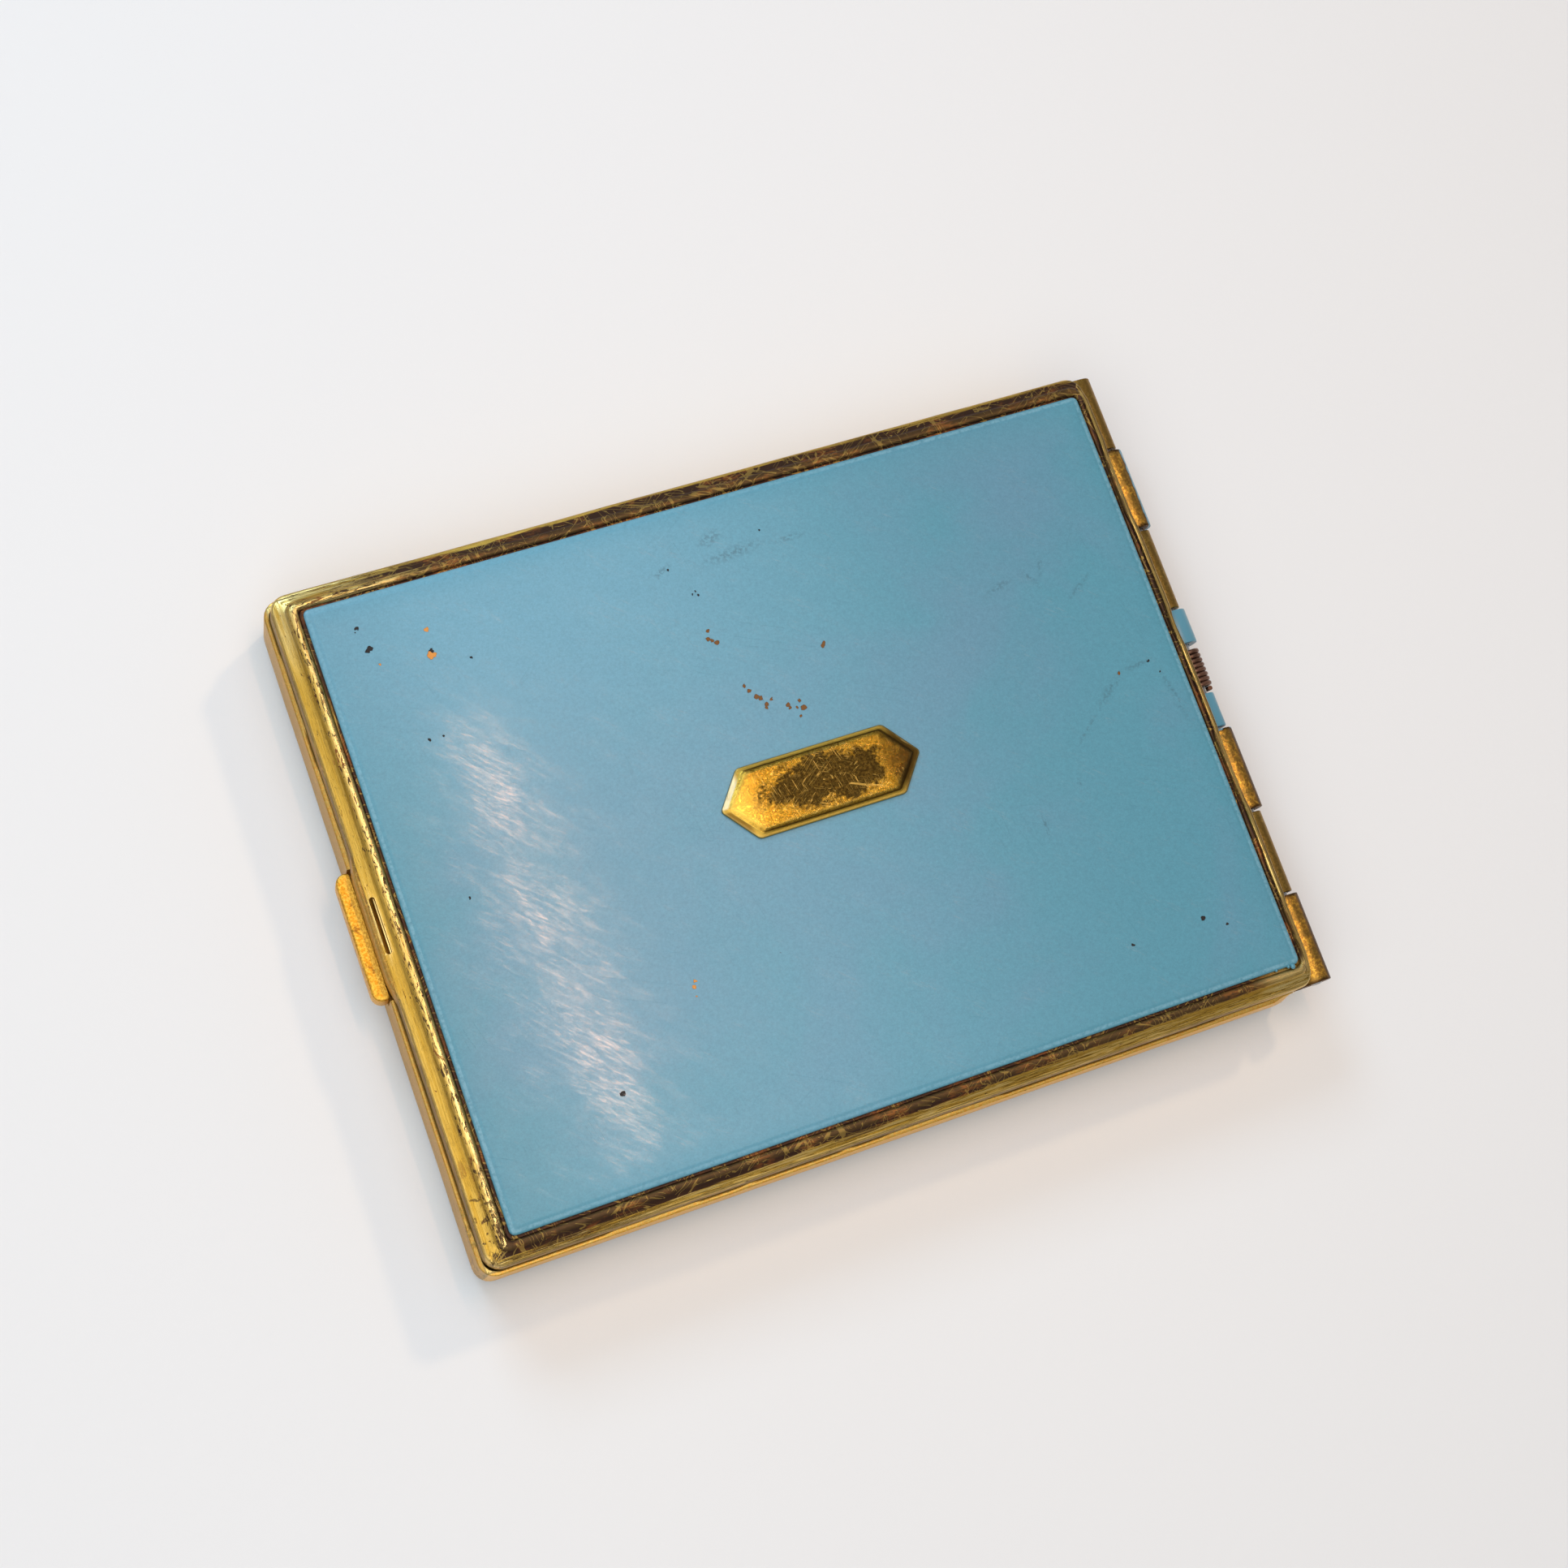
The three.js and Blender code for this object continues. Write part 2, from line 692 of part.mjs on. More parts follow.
function innerLid() {
  const low = doorLevel - doorAxisLevel;
  const plan = [
    flangePlan[0] + fit - doorX,
    -doorKnuckleRadius - fit,
    flangePlan[2] + fit,
    flangePlan[3] - fit,
  ];
  const plate = slab(roundedRect(plan, doorCorner), low, low + sheet);
  const fieldPlan = grow(plan, -doorFieldInset);
  const field = slab(roundedRect(fieldPlan, doorCorner), low, low + sheet + doorField);
  const tab = slab(
    roundedRect(
      [plan[0] - doorTabReach, plan[0] + doorTabReach, -doorTabWidth / 2, doorTabWidth / 2],
      doorTabReach * 0.9,
    ),
    low,
    low + sheet,
  );
  const own = doorSpans().filter((span) => span.side === "door");
  const rolled = own.flatMap(({ low: y0, high: y1 }) => [
    block(-doorKnuckleRadius - 2 * fit, 0, y0, y1, doorKnuckleRadius - sheet, doorKnuckleRadius),
    rod(doorKnuckleRadius, y0, y1),
  ]);
  return cut(join(plate, field, tab, ...rolled), doorBore);
}

doorGroup.position.set(doorX, 0, doorAxisLevel);
doorGroup.add(node("powder_door", innerLid(), brass()));

// Thumb piece, pressed towards +X. Its group's origin is at the wall's outer face.

function thumbPiece() {
  const half = buttonLength / 2;
  const face = slab(
    roundedRect([-buttonReach, buttonReach, -half, half], 0.9),
    buttonTop - buttonHeight,
    buttonTop,
    0.1,
  );
  const trimmed = cut(face, block(seat, 3, -half - 1, half + 1, 0, lidTop));
  const neck = block(
    -seat,
    wall + 2 * seat,
    -neckLength / 2,
    neckLength / 2,
    plateTop - neckHeight,
    plateTop,
  );
  const plate = block(
    wall + seat,
    stripX - seat - basePlan[0],
    -buttonPlate / 2,
    buttonPlate / 2,
    plateTop - stripHeight,
    plateTop,
  );
  return join(trimmed, neck, plate);
}

catchGroup.position.x = basePlan[0];
catchGroup.add(node("catch_button", thumbPiece(), rawBrass()));

const compact = new THREE.Group();
compact.add(baseGroup, lidGroup, doorGroup, catchGroup);

export default compact;
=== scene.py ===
import math

import bmesh
import bpy
from mathutils import Matrix, Vector, noise


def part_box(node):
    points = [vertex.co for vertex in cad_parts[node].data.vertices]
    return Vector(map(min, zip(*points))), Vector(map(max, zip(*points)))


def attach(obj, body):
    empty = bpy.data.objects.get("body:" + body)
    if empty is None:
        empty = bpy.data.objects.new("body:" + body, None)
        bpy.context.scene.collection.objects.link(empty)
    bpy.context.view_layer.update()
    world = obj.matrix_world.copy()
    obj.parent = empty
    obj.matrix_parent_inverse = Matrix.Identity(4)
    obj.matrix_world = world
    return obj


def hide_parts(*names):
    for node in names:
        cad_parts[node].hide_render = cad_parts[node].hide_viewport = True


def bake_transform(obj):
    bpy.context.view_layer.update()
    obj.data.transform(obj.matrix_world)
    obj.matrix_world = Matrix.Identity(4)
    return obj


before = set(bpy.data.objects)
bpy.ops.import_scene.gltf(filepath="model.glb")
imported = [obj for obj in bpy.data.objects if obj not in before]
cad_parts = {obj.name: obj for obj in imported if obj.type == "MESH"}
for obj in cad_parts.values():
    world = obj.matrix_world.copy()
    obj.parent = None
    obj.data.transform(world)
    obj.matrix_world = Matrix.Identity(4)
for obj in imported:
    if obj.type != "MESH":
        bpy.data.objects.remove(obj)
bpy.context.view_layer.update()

# Hinged powder compact. The lid's face is +Z, the hinge is on the +X side and the thumb catch on -X.
# Shapes are drawn in millimetres and scaled to metres when a piece is finished.
mm = 0.001
scene = bpy.context.scene
scene.view_settings.view_transform = "Standard"


def planOf(nodeName):
    low, high = (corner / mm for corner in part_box(nodeName))
    return [low.x, high.x, low.y, high.y]


def levelsOf(nodeName):
    low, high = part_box(nodeName)
    return low.z / mm, high.z / mm


def grow(plan, amount):
    return [edge + side * amount for edge, side in zip(plan, (-1, 1, -1, 1))]


def middleOf(plan):
    return (plan[0] + plan[1]) / 2, (plan[2] + plan[3]) / 2


lidPlan = planOf("lid_frame")
lidPlan[0] = -lidPlan[1]  # the box takes in the swelling over the catch
basePlan = planOf("base_frame")
panelPlan = planOf("lid_panel")
lidFace = levelsOf("lid_panel")[1]
rimLevel = levelsOf("base_frame")[1]
partingLevel = levelsOf("lid_frame")[0]
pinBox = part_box("hinge_pin")
pinX = (pinBox[0].x + pinBox[1].x) / 2 / mm
pinZ = (pinBox[0].z + pinBox[1].z) / 2 / mm

# ---- camera, floor and lights

cameraSet = {
    "lens": 61.24,
    "aim": (-2.05, 1.13),  # from the middle of the lid's panel
    "distance": 219.5,
    "heading": 55.83,  # from +Y towards +X
    "down": 71.60,
    "roll": 37.18,
}


def makeCamera(values):
    heading, down = math.radians(values["heading"]), math.radians(values["down"])
    flat = math.cos(down)
    forward = Vector((flat * math.sin(heading), flat * math.cos(heading), -math.sin(down)))
    centre = middleOf(panelPlan)
    aim = Vector((centre[0] + values["aim"][0], centre[1] + values["aim"][1], lidFace))
    data = bpy.data.cameras.new("camera")
    data.lens = values["lens"]
    data.sensor_width = 36
    data.clip_start = 0.01
    camera = bpy.data.objects.new("camera", data)
    scene.collection.objects.link(camera)
    turn = forward.to_track_quat("-Z", "Y").to_matrix().to_4x4()
    turn @= Matrix.Rotation(math.radians(values["roll"]), 4, "Z")
    camera.matrix_world = Matrix.Translation((aim - forward * values["distance"]) * mm) @ turn
    scene.camera = camera


# place in mm from the middle of the case, what it points at, size in mm, watts, colour, turn in degrees
lightSet = {
    "overhead": ((-180, -110, 440), (-70, -30, 0), (470, 600), 1.43, (0.97, 0.995, 1.0), 0),
    "strip": ((28, 43, 310), (-23, -5, 10), (9, 92), 0.090, (1.0, 0.50, 0.28), 49),
    "glow": ((50, 40, 310), (-15, -6, 10), (100, 170), 0.080, (1.0, 0.95, 0.88), 49),
    "right": ((290, 200, 420), (0, 0, 0), (40, 40), 0.46, (1.0, 0.70, 0.42), 0),
    "window": ((-90, 330, 300), (0, 0, 0), (200, 140), 0.60, (0.56, 0.79, 1.0), 0),
}
softOnly = ["right"]  # it gives the warm side of the shadows, and no highlight
worldColour = (0.265, 0.27, 0.28, 1)


def makeLights(lights):
    for name, (place, aim, size, power, colour, turned) in lights.items():
        data = bpy.data.lights.new(name, "AREA")
        data.shape = "RECTANGLE"
        data.size, data.size_y = size[0] * mm, size[1] * mm
        data.energy = power
        data.color = colour
        light = bpy.data.objects.new(name, data)
        scene.collection.objects.link(light)
        place, aim = Vector(place), Vector(aim)
        turn = (aim - place).to_track_quat("-Z", "Y").to_matrix().to_4x4()
        turn @= Matrix.Rotation(math.radians(turned), 4, "Z")
        light.matrix_world = Matrix.Translation(place * mm) @ turn
        light.visible_glossy = name not in softOnly
    world = bpy.data.worlds.new("room")
    world.use_nodes = True
    world.node_tree.nodes["Background"].inputs["Color"].default_value = worldColour
    scene.world = world


# ---- shader helpers


def addNode(tree, kind, inputs=None, **settings):
    made = tree.nodes.new("ShaderNode" + kind)
    for name, value in settings.items():
        setattr(made, name, value)
    for name, value in (inputs or {}).items():
        if isinstance(value, bpy.types.NodeSocket):
            tree.links.new(value, made.inputs[name])
        else:
            made.inputs[name].default_value = value
    return made


def maths(tree, operation, first, second=0.0, clamp=False):
    return addNode(tree, "Math", {0: first, 1: second}, operation=operation, use_clamp=clamp).outputs[0]


def mixColour(tree, share, first, second, mode="MIX"):
    values = {0: share, 6: first, 7: second}
    return addNode(tree, "Mix", values, data_type="RGBA", blend_type=mode).outputs[2]


def mixValue(tree, share, first, second):
    return addNode(tree, "Mix", {0: share, 2: first, 3: second}).outputs[0]


def rise(tree, value, low, high):
    values = {"Value": value, "From Min": low, "From Max": high}
    return addNode(tree, "MapRange", values, interpolation_type="SMOOTHSTEP").outputs[0]


def largest(tree, values):
    total = values[0]
    for value in values[1:]:
        total = maths(tree, "MAXIMUM", total, value)
    return total


def product(tree, values):
    total = values[0]
    for value in values[1:]:
        total = maths(tree, "MULTIPLY", total, value)
    return total


def objectPlace(tree, stretch=(1, 1, 1), turn=0.0, shift=(0, 0, 0)):
    where = addNode(tree, "TexCoord").outputs["Object"]
    values = {"Vector": where, "Scale": (1000, 1000, 1000), "Rotation": (0, 0, math.radians(turn)),
              "Location": shift}
    place = addNode(tree, "Mapping", values).outputs[0]
    if tuple(stretch) != (1, 1, 1):  # stretched after it is turned, so that the grain follows the turn
        place = addNode(tree, "VectorMath", {0: place, 1: stretch}, operation="MULTIPLY").outputs[0]
    return place


def noiseAt(tree, place, scale, detail=4.0, rough=0.5, warp=0.0):
    values = {"Vector": place, "Scale": scale, "Detail": detail, "Roughness": rough, "Distortion": warp}
    return addNode(tree, "TexNoise", values).outputs[0]


def parts(tree, vector):
    return addNode(tree, "SeparateXYZ", {0: vector}).outputs[:]


def startGroup(name, inputs, outputs):
    group = bpy.data.node_groups.new(name, "ShaderNodeTree")
    for title, value in inputs.items():
        group.interface.new_socket(title, in_out="INPUT", socket_type="NodeSocketFloat").default_value = value
    for title in outputs:
        group.interface.new_socket(title, in_out="OUTPUT", socket_type="NodeSocketFloat")
    return group, group.nodes.new("NodeGroupInput").outputs, group.nodes.new("NodeGroupOutput").inputs


def useGroup(tree, name, **values):
    made = tree.nodes.new("ShaderNodeGroup")
    made.node_tree = bpy.data.node_groups[name]
    for title, value in values.items():
        made.inputs[title].default_value = value
    return made.outputs


# ---- shared effects


def makeGroups():
    # fine sandy grain
    group, given, out = startGroup("grain", {"Size": 0.15}, ["Height"])
    place = objectPlace(group)
    scale = maths(group, "DIVIDE", 1.0, given["Size"])
    fine = noiseAt(group, place, scale, 3.0, 0.6)
    group.links.new(fine, out["Height"])

    # tarnish in soft-edged patches
    group, given, out = startGroup("patches", {"Size": 3.0, "Cover": 0.5, "Edge": 0.08}, ["Mask"])
    scale = maths(group, "DIVIDE", 1.0, given["Size"])
    cloud = noiseAt(group, objectPlace(group, shift=(3.1, 7.7, 1.3)), scale, 7.0, 0.62, 0.4)
    low = maths(group, "SUBTRACT", maths(group, "SUBTRACT", 1.0, given["Cover"]), given["Edge"])
    high = maths(group, "ADD", maths(group, "SUBTRACT", 1.0, given["Cover"]), given["Edge"])
    group.links.new(rise(group, cloud, low, high), out["Mask"])

    # small specks, one in some of the cells
    group, given, out = startGroup("specks", {"Spacing": 2.0, "Radius": 0.08, "Chance": 0.3}, ["Mask"])
    scale = maths(group, "DIVIDE", 1.0, given["Spacing"])
    cells = addNode(group, "TexVoronoi", {"Vector": objectPlace(group), "Scale": scale})
    wobble = maths(group, "MULTIPLY", noiseAt(group, objectPlace(group), 6.0, 2.0), 0.1)
    reach = maths(group, "ADD", cells.outputs["Distance"], wobble)
    radius = maths(group, "ADD", maths(group, "MULTIPLY", given["Radius"], scale), 0.05)
    inside = maths(group, "LESS_THAN", reach, radius)
    pick = maths(group, "LESS_THAN", parts(group, cells.outputs["Color"])[0], given["Chance"])
    group.links.new(maths(group, "MULTIPLY", inside, pick), out["Mask"])

    # hair-fine scratches in three directions, each broken up
    group, given, out = startGroup("scratches", {"Size": 1.0, "Width": 0.012, "Cover": 0.45}, ["Mask"])
    sets = []
    for turn, shift in ((24, 2), (-37, 11), (78, 23)):
        fine = objectPlace(group, (0.07, 1.6, 1.0), turn, (shift, 0, shift))
        scale = maths(group, "DIVIDE", 1.0, given["Size"])
        line = noiseAt(group, fine, scale, 0.0, 0.5, 0.6)
        line = maths(group, "ABSOLUTE", maths(group, "SUBTRACT", line, 0.5))
        line = maths(group, "LESS_THAN", line, given["Width"])
        breaks = noiseAt(group, objectPlace(group, (0.25, 0.25, 0.25), turn, (0, shift, 0)), scale, 3.0, 0.6)
        breaks = maths(group, "GREATER_THAN", breaks, maths(group, "SUBTRACT", 1.0, given["Cover"]))
        sets.append(maths(group, "MULTIPLY", line, breaks))
    group.links.new(largest(group, sets), out["Mask"])

    # raised and hollow edges
    group, given, out = startGroup("edges", {"Reach": 0.06}, ["Raised", "Hollow"])
    sharp = addNode(group, "NewGeometry").outputs["Pointiness"]
    uneven = maths(group, "MULTIPLY", noiseAt(group, objectPlace(group), 1.7, 5.0, 0.6), 0.03)
    sharp = maths(group, "ADD", maths(group, "SUBTRACT", sharp, 0.015), uneven)
    group.links.new(rise(group, sharp, 0.5, maths(group, "ADD", 0.5, given["Reach"])), out["Raised"])
    group.links.new(rise(group, sharp, 0.5, maths(group, "SUBTRACT", 0.5, given["Reach"])), out["Hollow"])

    # where a point on a frame is, from 0 at the panel to 1 at its outer edge, which side it is on,
    # and streaks and short flecks that run along that side
    centre = middleOf(panelPlan)
    half = (panelPlan[1] - panelPlan[0]) / 2, (panelPlan[3] - panelPlan[2]) / 2
    widths = lidPlan[3] - panelPlan[3], panelPlan[0] - lidPlan[0], lidPlan[1] - panelPlan[1]
    group, given, out = startGroup("frameRun", {"Length": 14.0, "Width": 0.32}, ["Share", "Upright", "Streaks"])
    x, y, z = parts(group, objectPlace(group))
    fromX = maths(group, "SUBTRACT", maths(group, "ABSOLUTE", maths(group, "SUBTRACT", x, centre[0])), half[0])
    fromY = maths(group, "SUBTRACT", maths(group, "ABSOLUTE", maths(group, "SUBTRACT", y, centre[1])), half[1])
    endWidth = mixValue(group, maths(group, "GREATER_THAN", x, 0.0), widths[1], widths[2])
    shareX = maths(group, "DIVIDE", fromX, endWidth)
    shareY = maths(group, "DIVIDE", fromY, widths[0])
    upright = maths(group, "GREATER_THAN", shareX, shareY)
    across = maths(group, "MAXIMUM", fromX, fromY)
    run = maths(group, "DIVIDE", mixValue(group, upright, x, y), given["Length"])
    side = maths(group, "ADD", maths(group, "MULTIPLY", upright, 9.0), maths(group, "DIVIDE", z, 0.5))
    wide = maths(group, "DIVIDE", across, given["Width"])
    place = addNode(group, "CombineXYZ", {0: run, 1: wide, 2: side}).outputs[0]
    group.links.new(maths(group, "MAXIMUM", shareX, shareY), out["Share"])
    group.links.new(upright, out["Upright"])
    group.links.new(noiseAt(group, place, 1.0, 6.0, 0.65, 0.7), out["Streaks"])

    # powder and lint that settle in sheltered places
    group, given, out = startGroup("dust", {"Cover": 0.35}, ["Mask"])
    up = parts(group, addNode(group, "NewGeometry").outputs["Normal"])[2]
    film = noiseAt(group, objectPlace(group), 0.35, 8.0, 0.7, 0.3)
    film = rise(group, film, maths(group, "SUBTRACT", 0.95, given["Cover"]), 0.95)
    facing = maths(group, "ABSOLUTE", up)
    group.links.new(maths(group, "MULTIPLY", film, facing, clamp=True), out["Mask"])


def startMaterial(name):
    material = bpy.data.materials.new(name)
    material.use_nodes = True
    tree = material.node_tree
    return material, tree, tree.nodes["Principled BSDF"]


def setUp(tree, shader, **values):
    for title, value in values.items():
        socket = shader.inputs[title.replace("_", " ")]
        if isinstance(value, bpy.types.NodeSocket):
            tree.links.new(value, socket)
        else:
            socket.default_value = value


def addBump(tree, shader, height, distance, strength=1.0):
    bump = addNode(tree, "Bump", {"Height": height, "Distance": distance * mm, "Strength": strength})
    tree.links.new(bump.outputs[0], shader.inputs["Normal"])


# ---- brass of the two frames

brassColours = {
    "matte": (0.60, 0.345, 0.046, 1),
    "light": (0.84, 0.55, 0.12, 1),
    "bright": (1.0, 0.74, 0.29, 1),
    "brown": (0.052, 0.022, 0.010, 1),
    "rust": (0.30, 0.095, 0.020, 1),
    "orange": (0.86, 0.38, 0.040, 1),
}


def band(tree, value, start, end, soft):
    inside = rise(tree, value, start - soft, start + soft)
    return maths(tree, "MULTIPLY", inside, rise(tree, value, end + soft, end - soft))


def frameBrass(name, brownAmount):
    material, tree, shader = startMaterial(name)
    x, y, z = parts(tree, objectPlace(tree))
    share, upright, streaks = useGroup(tree, "frameRun", Length=9.0, Width=0.34)
    lines = useGroup(tree, "frameRun", Length=4.0, Width=0.13)[2]
    flecks = useGroup(tree, "frameRun", Length=0.85, Width=0.20)[2]
    raised, hollow = useGroup(tree, "edges", Reach=0.05)
    grain = useGroup(tree, "grain", Size=0.13)[0]
    level = maths(tree, "SUBTRACT", 1.0, upright)
    catchEnd = product(tree, [upright, rise(tree, x, 1, -1)])
    hingeEnd = product(tree, [upright, rise(tree, x, -1, 1)])
    farSide = product(tree, [level, rise(tree, y, -1, 1)])
    nearSide = product(tree, [level, rise(tree, y, 1, -1)])
    wander = maths(tree, "SUBTRACT", streaks, 0.5)
    shifted = maths(tree, "ADD", share, maths(tree, "MULTIPLY", wander, 0.55))
    blotch = useGroup(tree, "patches", Size=1.5, Cover=0.46, Edge=0.03)[0]

    # tarnish mixed with painted reflection of the dark room: nearly all of the far side, the inner half of the near
    # side and the hinge side; and painted shade in a line along the panel elsewhere
    farRun = rise(tree, maths(tree, "ADD", x, maths(tree, "MULTIPLY", wander, 30.0)), -31.0, -24.0)
    farTarnishAndReflection = product(tree, [farSide, rise(tree, shifted, 0.90, 0.80), farRun])
    # painted shade in the gap next to the panel on the far side
    farPanelGapShade = product(tree, [farSide, rise(tree, shifted, 0.20, 0.13)])
    nearEdge = maths(tree, "ADD", shifted, maths(tree, "MULTIPLY", x, 0.004))
    nearTarnishAndReflection = product(tree, [nearSide, rise(tree, nearEdge, 0.66, 0.56)])
    hingeHollow = rise(tree, shifted, 0.54, 0.46)
    hingeOuter = product(tree, [band(tree, shifted, 0.72, 0.93, 0.04), 0.8])
    hingeTarnishAndReflection = product(tree, [hingeEnd, maths(tree, "MAXIMUM", hingeHollow, hingeOuter)])
    # painted shade in the gap next to the panel on the catch side
    catchPanelGapShade = product(tree, [catchEnd, rise(tree, shifted, 0.17, 0.10)])
    corner = product(tree, [catchEnd, rise(tree, y, -16, -26), rise(tree, flecks, 0.44, 0.50), blotch])
    fleckPlace = band(tree, share, 0.16, 0.50, 0.08)
    fleckEdge = mixValue(tree, fleckPlace, 0.64, 0.535)
    fleck = rise(tree, flecks, fleckEdge, maths(tree, "ADD", fleckEdge, 0.035))
    fan = product(tree, [band(tree, lines, 0.515, 0.56, 0.01), level, rise(tree, x, -20, -26), rise(tree, share, 1.01, 0.97)])
    # painted shade along the parting line at the outer edge
    rim = product(tree, [band(tree, share, 0.955, 1.03, 0.02), rise(tree, streaks, 0.38, 0.48), 0.75])
    endWall = product(tree, [maths(tree, "MAXIMUM", catchEnd, hingeEnd), rise(tree, share, 0.99, 1.02), 0.55])
    # brown gathers tarnish, flecks and rust together with the painted reflection and the painted shade along the panel
    # and the parting line
    brown = largest(tree, [farTarnishAndReflection, farPanelGapShade, nearTarnishAndReflection, hingeTarnishAndReflection, catchPanelGapShade, corner, fleck, fan, rim, endWall,
                           product(tree, [hollow, 0.7])])
    # painted highlight at the near hinge corner, where the tarnish and painted reflection are also lessened
    nearCorner = product(tree, [rise(tree, x, 30.5, 33.5), rise(tree, y, -25.8, -27.0)])
    brownAmount = maths(tree, "MULTIPLY", brownAmount, maths(tree, "SUBTRACT", 1.0, product(tree, [nearCorner, 0.6])))
    brown = maths(tree, "MULTIPLY", brown, brownAmount, clamp=True)

    # gold: matt over the outer half, with painted highlights along the inner lip, round the far catch corner, at the
    # near hinge corner, on the hinge-side ridge and in lines over the near side's outer half; raised edges lighter
    # with wear
    lipHighlight = band(tree, maths(tree, "ADD", share, maths(tree, "MULTIPLY", wander, 0.25)), 0.14, 0.36, 0.05)
    lipHighlight = product(tree, [lipHighlight, rise(tree, streaks, 0.30, 0.50)])
    cornerHighlight = product(tree, [rise(tree, x, -24, -31), rise(tree, y, 20, 27)])
    outerHalf = product(tree, [nearSide, band(tree, share, 0.60, 0.99, 0.03)])
    # painted highlight on the hinge-side ridge
    ridge = product(tree, [hingeEnd, band(tree, shifted, 0.52, 0.68, 0.04), rise(tree, streaks, 0.30, 0.55)])
    highlightAndWear = largest(tree, [product(tree, [lipHighlight, 0.85]), product(tree, [outerHalf, rise(tree, lines, 0.49, 0.60), 0.62]),
                           product(tree, [cornerHighlight, rise(tree, streaks, 0.35, 0.60), 0.8]),
                           product(tree, [nearCorner, rise(tree, lines, 0.46, 0.60), 0.9]),
                           product(tree, [ridge, 0.55]), product(tree, [raised, 0.55])])
    gold = mixColour(tree, product(tree, [rise(tree, streaks, 0.40, 0.68), 0.55]), brassColours["matte"],
                     brassColours["light"])
    gold = mixColour(tree, product(tree, [outerHalf, band(tree, lines, 0.42, 0.47, 0.012), 0.7]), gold,
                     brassColours["brown"])
    gold = mixColour(tree, highlightAndWear, gold, brassColours["bright"])
    gold = mixColour(tree, product(tree, [band(tree, lines, 0.47, 0.50, 0.012), 0.40]), gold, brassColours["brown"])
    rust = useGroup(tree, "patches", Size=3.5, Cover=0.44, Edge=0.08)[0]
    rust = product(tree, [rust, rise(tree, flecks, 0.42, 0.58)])
    dark = mixColour(tree, maths(tree, "MULTIPLY", rust, 0.75), brassColours["brown"], brassColours["rust"])
    worn = useGroup(tree, "scratches", Size=0.8, Width=0.02, Cover=0.5)[0]
    worn = largest(tree, [product(tree, [worn, 0.30]), product(tree, [raised, 0.12]),
                          product(tree, [rise(tree, lines, 0.67, 0.71), 0.7])])
    dark = mixColour(tree, worn, dark, brassColours["light"])
    wall = rise(tree, share, 0.99, 1.04)  # the outer walls are sandier and more orange
    sandy = mixColour(tree, rise(tree, grain, 0.40, 0.62), brassColours["orange"], brassColours["light"])
    gold = mixColour(tree, product(tree, [wall, 0.85]), gold, sandy)
    rough = mixValue(tree, highlightAndWear, 0.40, 0.20)
    setUp(tree, shader, Base_Color=mixColour(tree, brown, gold, dark),
          Metallic=product(tree, [mixValue(tree, brown, 1.0, 0.72), mixValue(tree, wall, 1.0, 0.80)]),
          Roughness=maths(tree, "ADD", mixValue(tree, brown, rough, 0.44), maths(tree, "MULTIPLY", grain, 0.10)))
    height = maths(tree, "ADD", maths(tree, "MULTIPLY", lines, 0.40), maths(tree, "MULTIPLY", grain, 0.40))
    height = maths(tree, "SUBTRACT", height, maths(tree, "MULTIPLY", brown, 0.30))
    addBump(tree, shader, height, 0.030)
    return material


# ---- sandy orange brass of the hinge and the thumb piece, with blue paint where it was masked badly

paintColour = (0.105, 0.290, 0.390, 1)
sandyColours = {
    "orange": ((0.34, 0.105, 0.010, 1), (0.92, 0.46, 0.050, 1), 0.50),
    "thumb": ((0.60, 0.26, 0.018, 1), (0.92, 0.50, 0.065, 1), 0.38),
    "dull": ((0.085, 0.038, 0.012, 1), (0.34, 0.185, 0.040, 1), 0.56),
}


